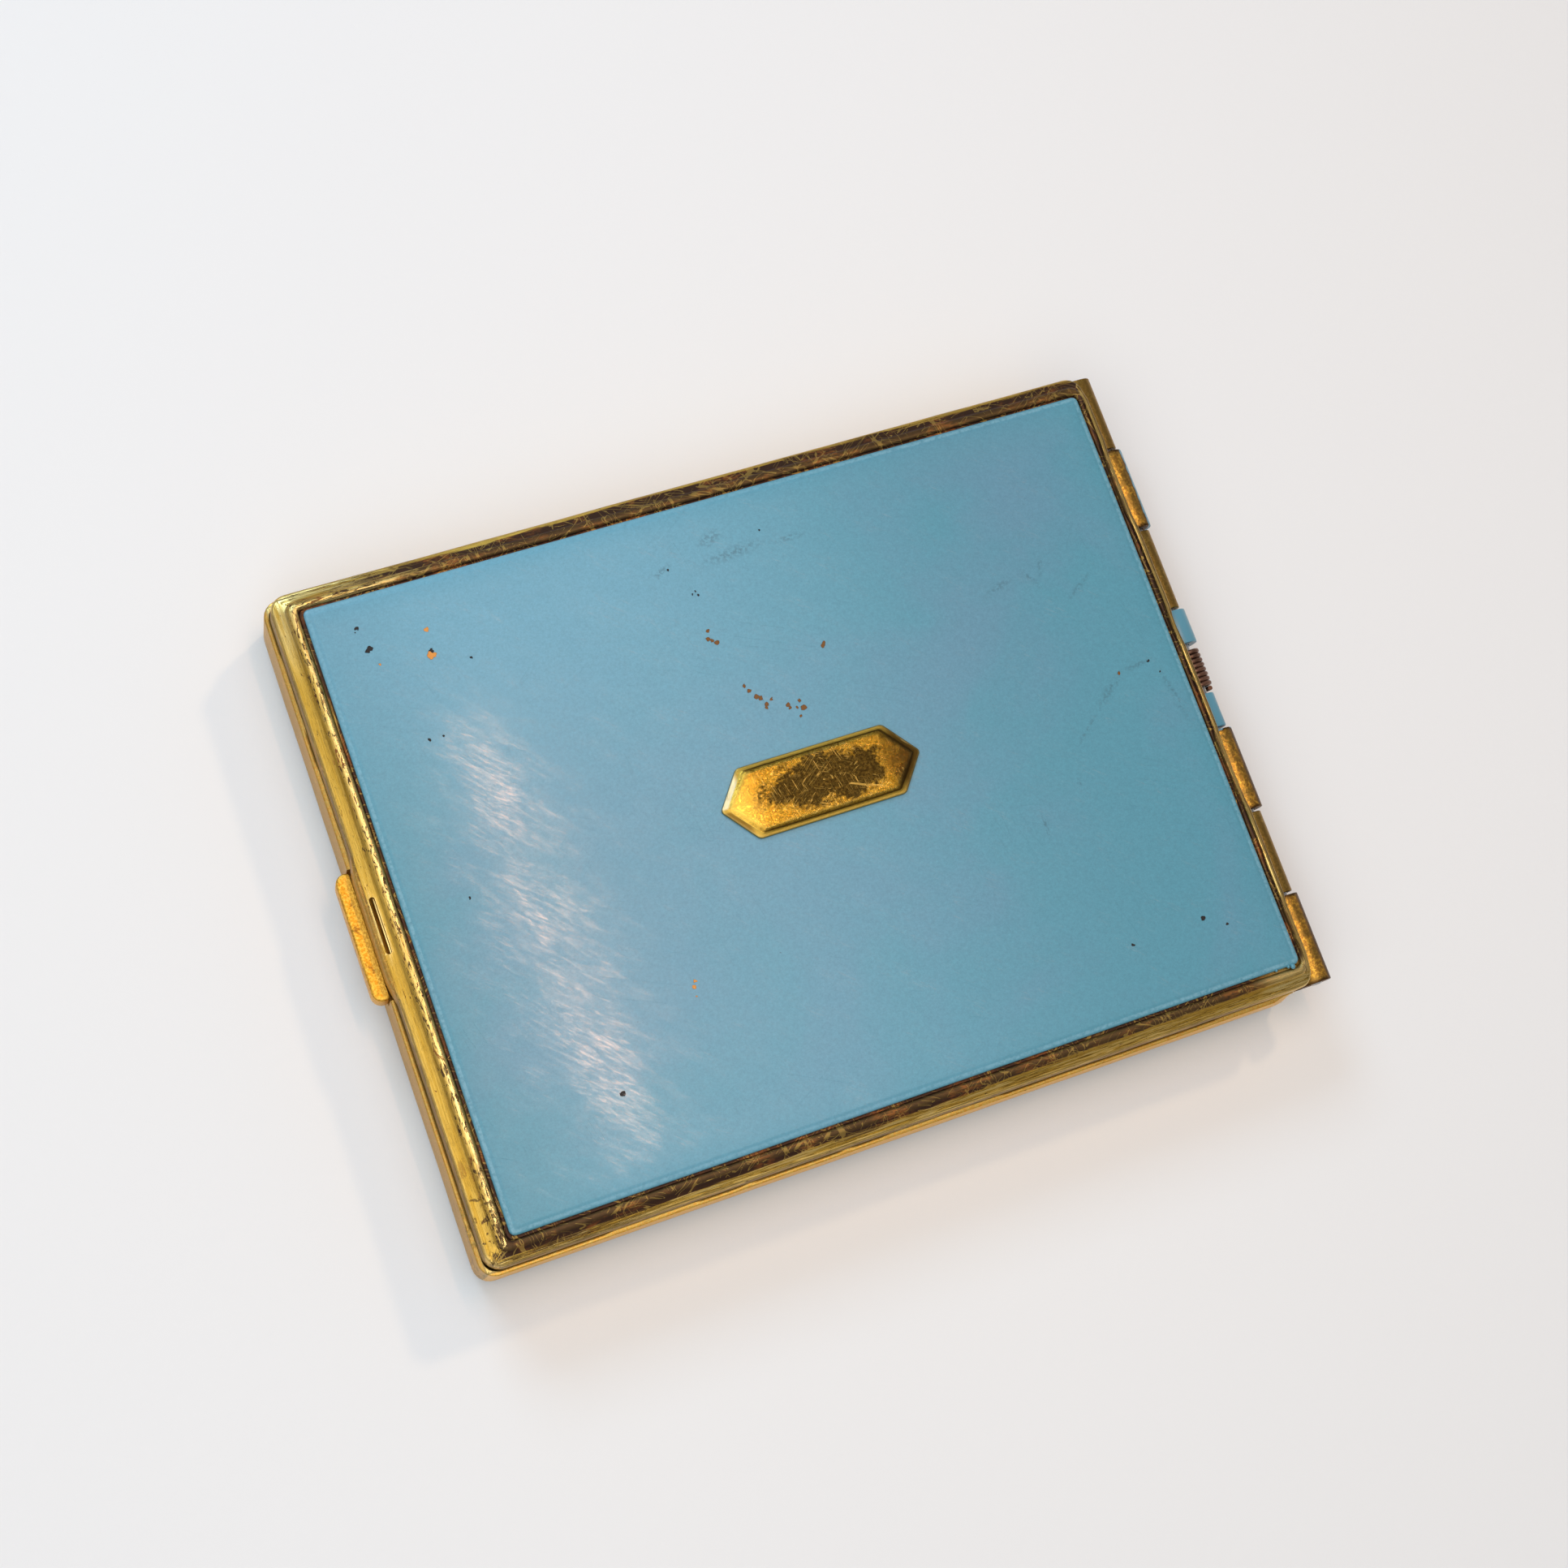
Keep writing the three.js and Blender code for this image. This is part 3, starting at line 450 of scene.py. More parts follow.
def sandyBrass(name, tone, paint):
    deep, light, cover = sandyColours[tone]
    material, tree, shader = startMaterial(name)
    place = objectPlace(tree)
    x, y, z = parts(tree, place)
    grain = useGroup(tree, "grain", Size=0.22)[0]
    patches = useGroup(tree, "patches", Size=1.1, Cover=cover, Edge=0.05)[0]
    raised, hollow = useGroup(tree, "edges", Reach=0.05)
    colour = mixColour(tree, rise(tree, grain, 0.40, 0.64), deep, light)
    colour = mixColour(tree, product(tree, [patches, 0.70]), colour, (0.13, 0.045, 0.012, 1))
    colour = mixColour(tree, product(tree, [hollow, 0.8]), colour, brassColours["brown"])
    colour = mixColour(tree, product(tree, [raised, 0.25]), colour, brassColours["light"])
    if tone == "orange":  # each knuckle is dark at its ends, painted shade where it meets its neighbours, and darker along its outer side
        ends = [band(tree, y, low + 0.22, high - 0.22, 0.14) for low, high in hingeSet["base"]]
        ends = maths(tree, "SUBTRACT", 1.0, largest(tree, ends))
        outside = rise(tree, maths(tree, "ADD", x, maths(tree, "MULTIPLY", grain, 0.3)), 38.30, 38.62)
        colour = mixColour(tree, product(tree, [maths(tree, "MAXIMUM", ends, outside), 0.85]), colour,
                           brassColours["brown"])
    metal, rough = 1.0, maths(tree, "ADD", 0.30, maths(tree, "MULTIPLY", grain, 0.26))
    height = grain
    if paint:
        wobble = maths(tree, "MULTIPLY", maths(tree, "SUBTRACT", noiseAt(tree, place, 1.4, 4.0), 0.5), 0.9)
        edge = maths(tree, "ADD", y, wobble)
        spots = [band(tree, edge, low, high, 0.04) for low, high in paint["spans"]]
        outer = rise(tree, maths(tree, "ADD", x, maths(tree, "MULTIPLY", wobble, 0.5)), paint["outerX"], paint["outerX"] + 0.05)
        spots += [product(tree, [outer, band(tree, edge, low, high, 0.04)]) for low, high in paint["outer"]]
        chipped = useGroup(tree, "patches", Size=0.9, Cover=0.30, Edge=0.02)[0]
        blue = product(tree, [largest(tree, spots), maths(tree, "SUBTRACT", 1.0, chipped)])
        colour = mixColour(tree, blue, colour, paintColour)
        metal = maths(tree, "SUBTRACT", 1.0, blue)
        rough = mixValue(tree, blue, rough, 0.33)
        height = mixValue(tree, blue, grain, 0.95)
    setUp(tree, shader, Base_Color=colour, Metallic=metal, Roughness=rough)
    addBump(tree, shader, height, 0.04)
    return material


# ---- plain sheet brass inside the case

sheetBrasses = {
    "innerBrass": ((0.72, 0.50, 0.16, 1), (0.86, 0.68, 0.30, 1), 0.30, 0.22),
    "doorBrass": ((0.78, 0.57, 0.20, 1), (0.90, 0.73, 0.36, 1), 0.20, 0.12),
    "sifterBrass": ((0.66, 0.45, 0.15, 1), (0.82, 0.62, 0.26, 1), 0.32, 0.30),
}


def sheetBrass(name, dull, clean, rough, spotted):
    material, tree, shader = startMaterial(name)
    brush = noiseAt(tree, objectPlace(tree, (0.06, 2.4, 2.4)), 1.0, 5.0, 0.6)
    film = useGroup(tree, "patches", Size=9.0, Cover=0.5, Edge=0.2)[0]
    spots = useGroup(tree, "specks", Spacing=1.6, Radius=0.10, Chance=spotted)[0]
    scratch = useGroup(tree, "scratches", Size=1.6, Width=0.014, Cover=0.42)[0]
    raised, hollow = useGroup(tree, "edges", Reach=0.06)
    dust = useGroup(tree, "dust", Cover=0.34)[0]
    colour = mixColour(tree, film, dull, clean)
    colour = mixColour(tree, product(tree, [scratch, 0.5]), colour, brassColours["bright"])
    colour = mixColour(tree, product(tree, [hollow, 0.7]), colour, brassColours["brown"])
    colour = mixColour(tree, product(tree, [spots, 0.8]), colour, brassColours["brown"])
    colour = mixColour(tree, product(tree, [raised, 0.5]), colour, brassColours["bright"])
    colour = mixColour(tree, product(tree, [dust, 0.75]), colour, (0.74, 0.55, 0.45, 1))
    setUp(tree, shader, Base_Color=colour, Metallic=maths(tree, "SUBTRACT", 1.0, product(tree, [dust, 0.8])),
          Roughness=maths(tree, "ADD", maths(tree, "ADD", rough, maths(tree, "MULTIPLY", brush, 0.14)),
                          maths(tree, "MULTIPLY", dust, 0.4)))
    height = maths(tree, "SUBTRACT", brush, maths(tree, "MULTIPLY", scratch, 0.6))
    addBump(tree, shader, height, 0.008)
    return material


# ---- blue enamel of both panels

enamelSet = {
    "blue": (0.110, 0.272, 0.376, 1),
    "turquoise": (0.086, 0.284, 0.370, 1),
    "grey": (0.130, 0.262, 0.346, 1),
    "paintedReflectionBlue": (0.136, 0.360, 0.482, 1),
    "beadWearAndHighlight": (0.26, 0.47, 0.56, 1),
    "chipBrown": (0.20, 0.085, 0.02, 1),
    "chipDark": (0.02, 0.016, 0.014, 1),
    "chipOrange": (0.72, 0.30, 0.06, 1),
}
# x, y and radius of each chip on the lid, in mm
lidChips = {
    "chipBrown": [
        (-3.1, 15.4, 0.18), (-3.3, 14.7, 0.21), (-3.0, 14.5, 0.17), (-2.7, 14.2, 0.21), (5.8, 11.4, 0.18),
        (6.0, 11.6, 0.20), (-1.8, 10.0, 0.18), (-1.5, 9.5, 0.20), (-1.1, 8.8, 0.21), (-0.8, 8.6, 0.20),
        (-0.5, 8.0, 0.21), (-0.6, 7.7, 0.14), (0.0, 8.3, 0.14), (1.2, 7.4, 0.17), (1.3, 7.1, 0.15),
        (2.3, 7.5, 0.14), (2.4, 6.8, 0.26), (1.9, 7.0, 0.15), (1.9, 6.2, 0.12), (29.8, 1.7, 0.16),
    ],
    "chipDark": [
        (-30.7, 23.8, 0.19), (-30.9, 23.4, 0.11), (-30.2, 21.9, 0.23), (-30.4, 21.7, 0.19), (-22.6, 18.8, 0.13),
        (-28.0, 13.2, 0.11), (-26.8, 13.2, 0.11), (-3.0, 19.0, 0.08), (-2.8, 18.6, 0.12), (-3.3, 18.8, 0.09),
        (-4.5, 21.4, 0.09), (4.1, 22.6, 0.09), (-22.5, -18.8, 0.24), (-29.0, -0.1, 0.11), (22.1, -20.6, 0.14),
        (28.8, -20.4, 0.19), (30.6, -21.5, 0.14), (32.7, 2.0, 0.13), (33.4, 0.8, 0.11), (-25.5, 20.25, 0.19),
    ],
    "chipOrange": [
        (-25.3, 22.1, 0.20), (-25.7, 19.9, 0.33), (-25.4, 19.9, 0.19), (-29.8, 20.4, 0.12), (-14.0, -12.1, 0.14),
        (-14.2, -12.5, 0.17), (-14.3, -13.3, 0.09),
    ],
}
# ends and width of the faint grey rubs on the lid
lidRubs = [
    ((26.6, -0.9), (30.2, 1.9), 0.42), ((30.2, 1.8), (33.2, 2.2), 0.30), ((33.4, 1.1), (34.2, -3.8), 0.28),
    ((24.0, -3.2), (26.6, -1.0), 0.20), ((18.7, -7.6), (18.6, -10.2), 0.16), ((22.8, -5.8), (22.9, -6.6), 0.20),
    ((24.8, 12.9), (26.0, 10.8), 0.24), ((26.9, 13.5), (26.2, 11.6), 0.22), ((27.8, 9.0), (30.8, 11.0), 0.26),
    ((20.8, 11.4), (23.8, 12.4), 0.36), ((4.8, 21.2), (8.0, 21.2), 0.26), ((-6.2, 20.8), (-4.2, 21.9), 0.32),
    ((-2.0, 21.0), (4.5, 21.6), 0.55), ((-1.5, 22.6), (1.0, 23.4), 0.60),
]

# the same for the places where handling has polished it
lidPolish = [
    ((-26.2, 16.0), (-23.2, 1.0), 2.5), ((-25.6, 4.0), (-23.8, -9.5), 1.5), ((-24.6, -7.4), (-22.0, -25.0), 3.3),
]
lidHaze = [((-26.4, 20.0), (-21.6, -29.0), 6.4)]


def chipMask(tree, place, spots):
    masks = []
    for x, y, radius in spots:
        values = {0: place, 1: (x, y, lidFace)}
        far = addNode(tree, "VectorMath", values, operation="DISTANCE").outputs["Value"]
        masks.append(maths(tree, "DIVIDE", radius, maths(tree, "MAXIMUM", far, 0.01)))
    return rise(tree, largest(tree, masks), 0.93, 1.07)


def rubMask(tree, place, rubs):
    x, y, z = parts(tree, place)
    masks = []
    for start, end, width in rubs:
        middle = (Vector(start) + Vector(end)) / 2
        run = Vector(end) - Vector(start)
        values = {
            "Vector": place,
            "Location": (middle.x, middle.y, lidFace),
            "Rotation": (0, 0, math.atan2(run.y, run.x)),
            "Scale": (run.length / 2, width, 4.0),
        }
        local = addNode(tree, "Mapping", values, vector_type="TEXTURE").outputs[0]
        far = addNode(tree, "VectorMath", {0: local}, operation="LENGTH").outputs["Value"]
        masks.append(rise(tree, far, 1.35, 0.1))
    return largest(tree, masks)


def enamel(name, marked):
    material, tree, shader = startMaterial(name)
    place = objectPlace(tree)
    centre = middleOf(panelPlan)
    half = (panelPlan[1] - panelPlan[0]) / 2, (panelPlan[3] - panelPlan[2]) / 2
    x, y, z = parts(tree, place)
    edgeX = maths(tree, "SUBTRACT", maths(tree, "ABSOLUTE", maths(tree, "SUBTRACT", x, centre[0])), half[0])
    edgeY = maths(tree, "SUBTRACT", maths(tree, "ABSOLUTE", maths(tree, "SUBTRACT", y, centre[1])), half[1])
    edge = rise(tree, maths(tree, "MAXIMUM", edgeX, edgeY), -5.5, -0.4)
    clouds = noiseAt(tree, place, 0.055, 5.0, 0.55, 0.6)
    grain = useGroup(tree, "grain", Size=0.30)[0]
    sand = useGroup(tree, "grain", Size=0.16)[0]
    scratch = useGroup(tree, "scratches", Size=2.2, Width=0.006, Cover=0.40)[0]
    speck = useGroup(tree, "specks", Spacing=3.4, Radius=0.05, Chance=0.30)[0]
    colour = mixColour(tree, rise(tree, clouds, 0.35, 0.66), enamelSet["blue"], enamelSet["turquoise"])
    colour = mixColour(tree, product(tree, [edge, 0.7]), colour, enamelSet["turquoise"])
    colour = mixColour(tree, product(tree, [rise(tree, clouds, 0.60, 0.40), 0.18]), colour, enamelSet["grey"])
    # lighter line along the panel's rolled edge: wear on the bead mixed with a painted highlight
    beadWearAndHighlight = band(tree, maths(tree, "MAXIMUM", edgeX, edgeY), -0.42, -0.16, 0.05)
    colour = mixColour(tree, product(tree, [beadWearAndHighlight, rise(tree, grain, 0.30, 0.60), 0.40]), colour, enamelSet["beadWearAndHighlight"])
    if marked:  # painted reflection: lighter towards the far catch corner, and a little over the middle
        middle = product(tree, [rise(tree, x, 26, -8), rise(tree, x, -35, -22), 0.48])
        farCornerReflection = product(tree, [rise(tree, y, -1, 25), rise(tree, x, 22, -20), 0.58])
        colour = mixColour(tree, maths(tree, "ADD", middle, farCornerReflection, clamp=True), colour, enamelSet["paintedReflectionBlue"])
    tone = maths(tree, "ADD", 0.70, maths(tree, "MULTIPLY", maths(tree, "ADD", grain, sand), 0.30))
    colour = mixColour(tree, 1.0, colour, addNode(tree, "CombineColor", {0: tone, 1: tone, 2: tone}).outputs[0],
                       "MULTIPLY")
    colour = mixColour(tree, product(tree, [speck, 0.5]), colour, (0.06, 0.12, 0.15, 1))
    colour = mixColour(tree, product(tree, [scratch, 0.10]), colour, (0.07, 0.20, 0.27, 1))
    metal, chips = 0.0, None
    if marked:
        uneven = noiseAt(tree, place, 3.5, 3.0, 0.6)
        warp = addNode(tree, "TexNoise", {"Vector": place, "Scale": 3.2, "Detail": 3.0}).outputs["Color"]
        warp = addNode(tree, "VectorMath", {0: warp, 1: (0.5, 0.5, 0.5)}, operation="SUBTRACT").outputs[0]
        warp = addNode(tree, "VectorMath", {0: warp, "Scale": 0.42}, operation="SCALE").outputs[0]
        warped = addNode(tree, "VectorMath", {0: place, 1: warp}, operation="ADD").outputs[0]
        rubs = product(tree, [rubMask(tree, warped, lidRubs), rise(tree, uneven, 0.42, 0.60), 0.50])
        colour = mixColour(tree, rubs, colour, (0.045, 0.115, 0.150, 1))
        masks = []
        for kind, spots in lidChips.items():
            masks.append(chipMask(tree, warped, spots))
            colour = mixColour(tree, masks[-1], colour, enamelSet[kind])
        chips = largest(tree, masks)
        metal = product(tree, [chips, 0.35])
    rubbed = noiseAt(tree, objectPlace(tree, (0.5, 1.5, 1), 28), 1.0, 6.0, 0.7, 0.5)
    smear = noiseAt(tree, place, 0.16, 5.0, 0.6, 0.8)
    rough = maths(tree, "ADD", 0.27, maths(tree, "MULTIPLY", rubbed, 0.12))
    rough = maths(tree, "ADD", rough, maths(tree, "MULTIPLY", smear, 0.10))
    strokes = noiseAt(tree, objectPlace(tree, (0.55, 2.6, 1), 48), 1.0, 6.0, 0.75, 0.3)
    broad = noiseAt(tree, objectPlace(tree, (0.22, 0.60, 1), 48), 1.0, 6.0, 0.72, 0.3)
    polish = product(tree, [rise(tree, strokes, 0.34, 0.66), rise(tree, smear, 0.44, 0.54)])
    if marked:  # where it has been handled most it is rubbed smooth
        handled = maths(tree, "MULTIPLY", maths(tree, "SUBTRACT", broad, 0.5), 2.6)
        core = maths(tree, "MULTIPLY", rubMask(tree, warped, lidPolish), 0.85)
        haze = maths(tree, "MULTIPLY", rubMask(tree, warped, lidHaze), 0.42)
        handled = maths(tree, "ADD", maths(tree, "MAXIMUM", core, haze), handled)
        handled = rise(tree, handled, -0.15, 1.05)
        hatch = noiseAt(tree, objectPlace(tree, (0.9, 5.2, 1), 40), 1.0, 5.0, 0.75, 0.3)
        broken = product(tree, [maths(tree, "ADD", 0.30, rise(tree, strokes, 0.42, 0.58)),
                                maths(tree, "ADD", 0.45, product(tree, [rise(tree, hatch, 0.40, 0.62), 0.85]))])
        polish = maths(tree, "ADD", product(tree, [handled, broken, 0.58]), 0.07, clamp=True)
        polish = product(tree, [polish, maths(tree, "SUBTRACT", 1.0, chips)])
        # painted highlight: pale hatched lines over the handled streak
        streakHighlightLines = product(tree, [handled, rise(tree, hatch, 0.52, 0.66), 0.36])
        colour = mixColour(tree, streakHighlightLines, colour, (0.44, 0.39, 0.36, 1))
    if chips:
        rough = mixValue(tree, chips, rough, 0.6)
    setUp(tree, shader, Base_Color=colour, Metallic=metal, Roughness=rough, IOR=1.50,
          Coat_Weight=polish, Coat_Roughness=0.13)
    height = maths(tree, "ADD", maths(tree, "MULTIPLY", grain, 0.35), maths(tree, "MULTIPLY", rubbed, 0.55))
    height = maths(tree, "SUBTRACT", height, maths(tree, "MULTIPLY", scratch, 0.5))
    height = maths(tree, "ADD", height, maths(tree, "MULTIPLY", strokes, 0.7))
    if chips:
        height = maths(tree, "SUBTRACT", height, maths(tree, "MULTIPLY", chips, 6.0))
    addBump(tree, shader, height, 0.010)
    return material


# ---- the plaque's own brass: bright, with a dark worn middle, and painted highlight and shade over its ends, bevels and step


def plaqueBrass(name):
    material, tree, shader = startMaterial(name)
    place = objectPlace(tree)
    x, y, z = parts(tree, place)
    plan = planOf("plaque")
    centre = middleOf(plan)
    along = maths(tree, "DIVIDE", maths(tree, "SUBTRACT", x, centre[0]), (plan[1] - plan[0]) / 2)
    aside = maths(tree, "DIVIDE", maths(tree, "SUBTRACT", y, centre[1]), (plan[3] - plan[2]) / 2)
    blot = noiseAt(tree, place, 0.55, 8.0, 0.70, 0.4)
    fine = noiseAt(tree, place, 4.2, 6.0, 0.78)
    inside = maths(tree, "POWER", maths(tree, "ABSOLUTE", maths(tree, "SUBTRACT", along, 0.05)), 2.0)
    inside = maths(tree, "ADD", maths(tree, "MULTIPLY", inside, 1.5),
                   maths(tree, "MULTIPLY", maths(tree, "POWER", maths(tree, "ABSOLUTE", aside), 2.0), 1.1))
    inside = maths(tree, "ADD", inside, maths(tree, "MULTIPLY", maths(tree, "SUBTRACT", blot, 0.5), 1.9))
    inside = maths(tree, "ADD", inside, maths(tree, "MULTIPLY", maths(tree, "SUBTRACT", fine, 0.5), 0.9))
    top = rise(tree, z, lidFace + 0.50, lidFace + 0.56)
    dark = product(tree, [rise(tree, inside, 0.74, 0.38), top])
    # painted highlight over the left end and painted shade over the right end
    leftEndHighlight = rise(tree, maths(tree, "ADD", along, maths(tree, "MULTIPLY", blot, 0.5)), -0.28, -0.62)
    rightEndShade = rise(tree, maths(tree, "ADD", along, maths(tree, "MULTIPLY", blot, 0.5)), 0.82, 1.08)
    scratch = useGroup(tree, "scratches", Size=0.35, Width=0.016, Cover=0.48)[0]
    grain = useGroup(tree, "grain", Size=0.10)[0]
    mottled = rise(tree, fine, 0.42, 0.60)
    raised, hollow = useGroup(tree, "edges", Reach=0.06)
    gold = mixColour(tree, mottled, (0.36, 0.185, 0.014, 1), (0.56, 0.32, 0.036, 1))
    gold = mixColour(tree, product(tree, [leftEndHighlight, 0.85]), gold, (0.74, 0.44, 0.07, 1))
    black = mixColour(tree, mottled, (0.028, 0.018, 0.005, 1), (0.12, 0.070, 0.014, 1))
    colour = mixColour(tree, maths(tree, "MULTIPLY", dark, 0.95), gold, black)
    colour = mixColour(tree, product(tree, [rightEndShade, 0.85]), colour, (0.075, 0.032, 0.008, 1))
    colour = mixColour(tree, product(tree, [scratch, top, 0.55]), colour, (0.80, 0.50, 0.11, 1))
    border = band(tree, z, lidFace + 0.18, lidFace + 0.36, 0.02)
    leftRim = rise(tree, along, -0.74, -0.80)
    rightRim = rise(tree, along, 0.70, 0.80)
    # the border: painted highlight on the upper left bevel, painted shade on the lower left and the right bevels
    bevelHighlightAndShade = mixColour(tree, product(tree, [leftRim, rise(tree, aside, -0.02, 0.06)]), (0.52, 0.34, 0.060, 1),
                        (1.0, 0.86, 0.52, 1))
    dull = maths(tree, "MAXIMUM", product(tree, [leftRim, rise(tree, aside, -0.04, -0.12)]), rightRim)
    bevelHighlightAndShade = mixColour(tree, product(tree, [dull, 0.85]), bevelHighlightAndShade, (0.10, 0.048, 0.010, 1))
    colour = mixColour(tree, product(tree, [border, 0.85]), colour, bevelHighlightAndShade)
    # painted shade in the step below the face, except at the lit left end
    step = band(tree, z, lidFace + 0.38, lidFace + 0.47, 0.03)
    colour = mixColour(tree, product(tree, [step, maths(tree, "SUBTRACT", 1.0, leftEndHighlight), 0.75]), colour,
                       (0.07, 0.035, 0.008, 1))
    colour = mixColour(tree, product(tree, [rise(tree, z, lidFace + 0.27, lidFace + 0.20), 0.9]), colour,
                       brassColours["brown"])
    colour = mixColour(tree, product(tree, [hollow, 0.6]), colour, brassColours["brown"])
    colour = mixColour(tree, product(tree, [raised, 0.35]), colour, (0.95, 0.70, 0.26, 1))
    rough = mixValue(tree, maths(tree, "MAXIMUM", dark, border), 0.20, 0.40)
    setUp(tree, shader, Base_Color=colour, Metallic=1.0,
          Roughness=maths(tree, "ADD", rough, maths(tree, "MULTIPLY", grain, 0.10)))
    height = maths(tree, "SUBTRACT", maths(tree, "MULTIPLY", mottled, 0.5), maths(tree, "MULTIPLY", scratch, 0.7))
    addBump(tree, shader, height, 0.010)
    return material


# ---- steel, spring wire, glass, card and cloth


def darkMetal(name, dark, light, rough):
    material, tree, shader = startMaterial(name)
    grain = useGroup(tree, "grain", Size=0.12)[0]
    patches = useGroup(tree, "patches", Size=0.9, Cover=0.5, Edge=0.12)[0]
    raised, hollow = useGroup(tree, "edges", Reach=0.06)
    colour = mixColour(tree, patches, dark, light)
    colour = mixColour(tree, product(tree, [raised, 0.4]), colour, [min(3 * part, 1) for part in light])
    colour = mixColour(tree, product(tree, [hollow, 0.6]), colour, (0.03, 0.012, 0.006, 1))
    setUp(tree, shader, Base_Color=colour, Metallic=mixValue(tree, patches, 0.95, 0.75),
          Roughness=maths(tree, "ADD", rough, maths(tree, "MULTIPLY", grain, 0.25)))
    addBump(tree, shader, grain, 0.02)
    return material


def mirrorGlass(name):
    material, tree, shader = startMaterial(name)
    place = objectPlace(tree)
    plan = planOf("mirror")
    centre = middleOf(plan)
    x, y, z = parts(tree, place)
    edgeX = maths(tree, "SUBTRACT", (plan[1] - plan[0]) / 2, maths(tree, "ABSOLUTE", maths(tree, "SUBTRACT", x, centre[0])))
    edgeY = maths(tree, "SUBTRACT", (plan[3] - plan[2]) / 2, maths(tree, "ABSOLUTE", maths(tree, "SUBTRACT", y, centre[1])))
    edge = maths(tree, "MINIMUM", edgeX, edgeY)
    cloud = noiseAt(tree, place, 0.5, 7.0, 0.7, 0.6)
    edge = maths(tree, "ADD", edge, maths(tree, "MULTIPLY", maths(tree, "SUBTRACT", cloud, 0.5), 3.4))
    foxed = rise(tree, edge, 2.5, 1.5)
    dust = useGroup(tree, "dust", Cover=0.30)[0]
    smear = noiseAt(tree, objectPlace(tree, (0.08, 0.3, 0.3), 30), 1.0, 5.0, 0.6)
    colour = mixColour(tree, product(tree, [foxed, 0.7]), (0.87, 0.90, 0.90, 1), (0.15, 0.095, 0.05, 1))
    rough = maths(tree, "ADD", 0.015, maths(tree, "MULTIPLY", rise(tree, smear, 0.5, 0.8), 0.10))
    rough = maths(tree, "ADD", rough, maths(tree, "MULTIPLY", dust, 0.25))
    setUp(tree, shader, Base_Color=colour, Metallic=mixValue(tree, foxed, 1.0, 0.6),
          Roughness=mixValue(tree, foxed, rough, 0.35), Coat_Weight=product(tree, [foxed, 0.2]))
    addBump(tree, shader, dust, 0.002)
    return material


def cardBoard(name):
    material, tree, shader = startMaterial(name)
    fibres = noiseAt(tree, objectPlace(tree, (0.3, 3.0, 1.0), 12), 1.0, 6.0, 0.7)
    stains = useGroup(tree, "patches", Size=8.0, Cover=0.45, Edge=0.2)[0]
    colour = mixColour(tree, fibres, (0.24, 0.16, 0.09, 1), (0.42, 0.31, 0.19, 1))
    colour = mixColour(tree, product(tree, [stains, 0.4]), colour, (0.20, 0.12, 0.06, 1))
    setUp(tree, shader, Base_Color=colour, Roughness=maths(tree, "ADD", 0.75, maths(tree, "MULTIPLY", fibres, 0.2)))
    addBump(tree, shader, fibres, 0.03)
    return material


def threads(tree, pitch):
    place = objectPlace(tree, (1 / pitch, 1 / pitch, 1 / pitch))
    sway = addNode(tree, "TexNoise", {"Vector": place, "Scale": 0.12, "Detail": 2.0}).outputs["Color"]
    place = addNode(tree, "VectorMath", {0: place, 1: sway}, operation="ADD").outputs[0]
    x, y, z = parts(tree, place)
    waveX = maths(tree, "ABSOLUTE", maths(tree, "SINE", maths(tree, "MULTIPLY", x, math.pi)))
    waveY = maths(tree, "ABSOLUTE", maths(tree, "SINE", maths(tree, "MULTIPLY", y, math.pi)))
    over = maths(tree, "SINE", maths(tree, "MULTIPLY", maths(tree, "ADD", x, y), math.pi / 2))
    return waveX, waveY, maths(tree, "ABSOLUTE", over)


def gauzeCloth(name):
    material, tree, shader = startMaterial(name)
    waveX, waveY, over = threads(tree, 0.34)
    weave = maths(tree, "MAXIMUM", waveX, waveY)
    holes = rise(tree, maths(tree, "MAXIMUM", waveX, waveY), 0.62, 0.30)
    powder = useGroup(tree, "patches", Size=6.0, Cover=0.55, Edge=0.25)[0]
    colour = mixColour(tree, weave, (0.50, 0.40, 0.30, 1), (0.80, 0.72, 0.60, 1))
    colour = mixColour(tree, product(tree, [powder, 0.75]), colour, (0.83, 0.58, 0.48, 1))
    colour = mixColour(tree, product(tree, [holes, maths(tree, "SUBTRACT", 1.0, powder), 0.7]), colour,
                       (0.30, 0.20, 0.14, 1))
    setUp(tree, shader, Base_Color=colour, Roughness=maths(tree, "ADD", 0.82, maths(tree, "MULTIPLY", weave, 0.12)),
          Sheen_Weight=0.15)
    addBump(tree, shader, maths(tree, "MULTIPLY", weave, over), 0.08)
    return material


def velour(name):
    material, tree, shader = startMaterial(name)
    place = objectPlace(tree)
    pile = noiseAt(tree, place, 7.0, 3.0, 0.7)
    tufts = noiseAt(tree, place, 0.9, 5.0, 0.65, 0.5)
    worn = useGroup(tree, "patches", Size=7.0, Cover=0.42, Edge=0.2)[0]
    colour = mixColour(tree, rise(tree, tufts, 0.3, 0.7), (0.64, 0.40, 0.34, 1), (0.83, 0.60, 0.52, 1))
    colour = mixColour(tree, maths(tree, "MULTIPLY", pile, 0.35), colour, (0.93, 0.78, 0.70, 1))
    colour = mixColour(tree, product(tree, [worn, 0.4]), colour, (0.80, 0.58, 0.46, 1))
    setUp(tree, shader, Base_Color=colour, Roughness=maths(tree, "ADD", 0.80, maths(tree, "MULTIPLY", pile, 0.18)),
          Sheen_Weight=0.6, Sheen_Roughness=0.45)
    height = maths(tree, "ADD", maths(tree, "MULTIPLY", pile, 0.5), tufts)
    addBump(tree, shader, height, 0.22)
    return material


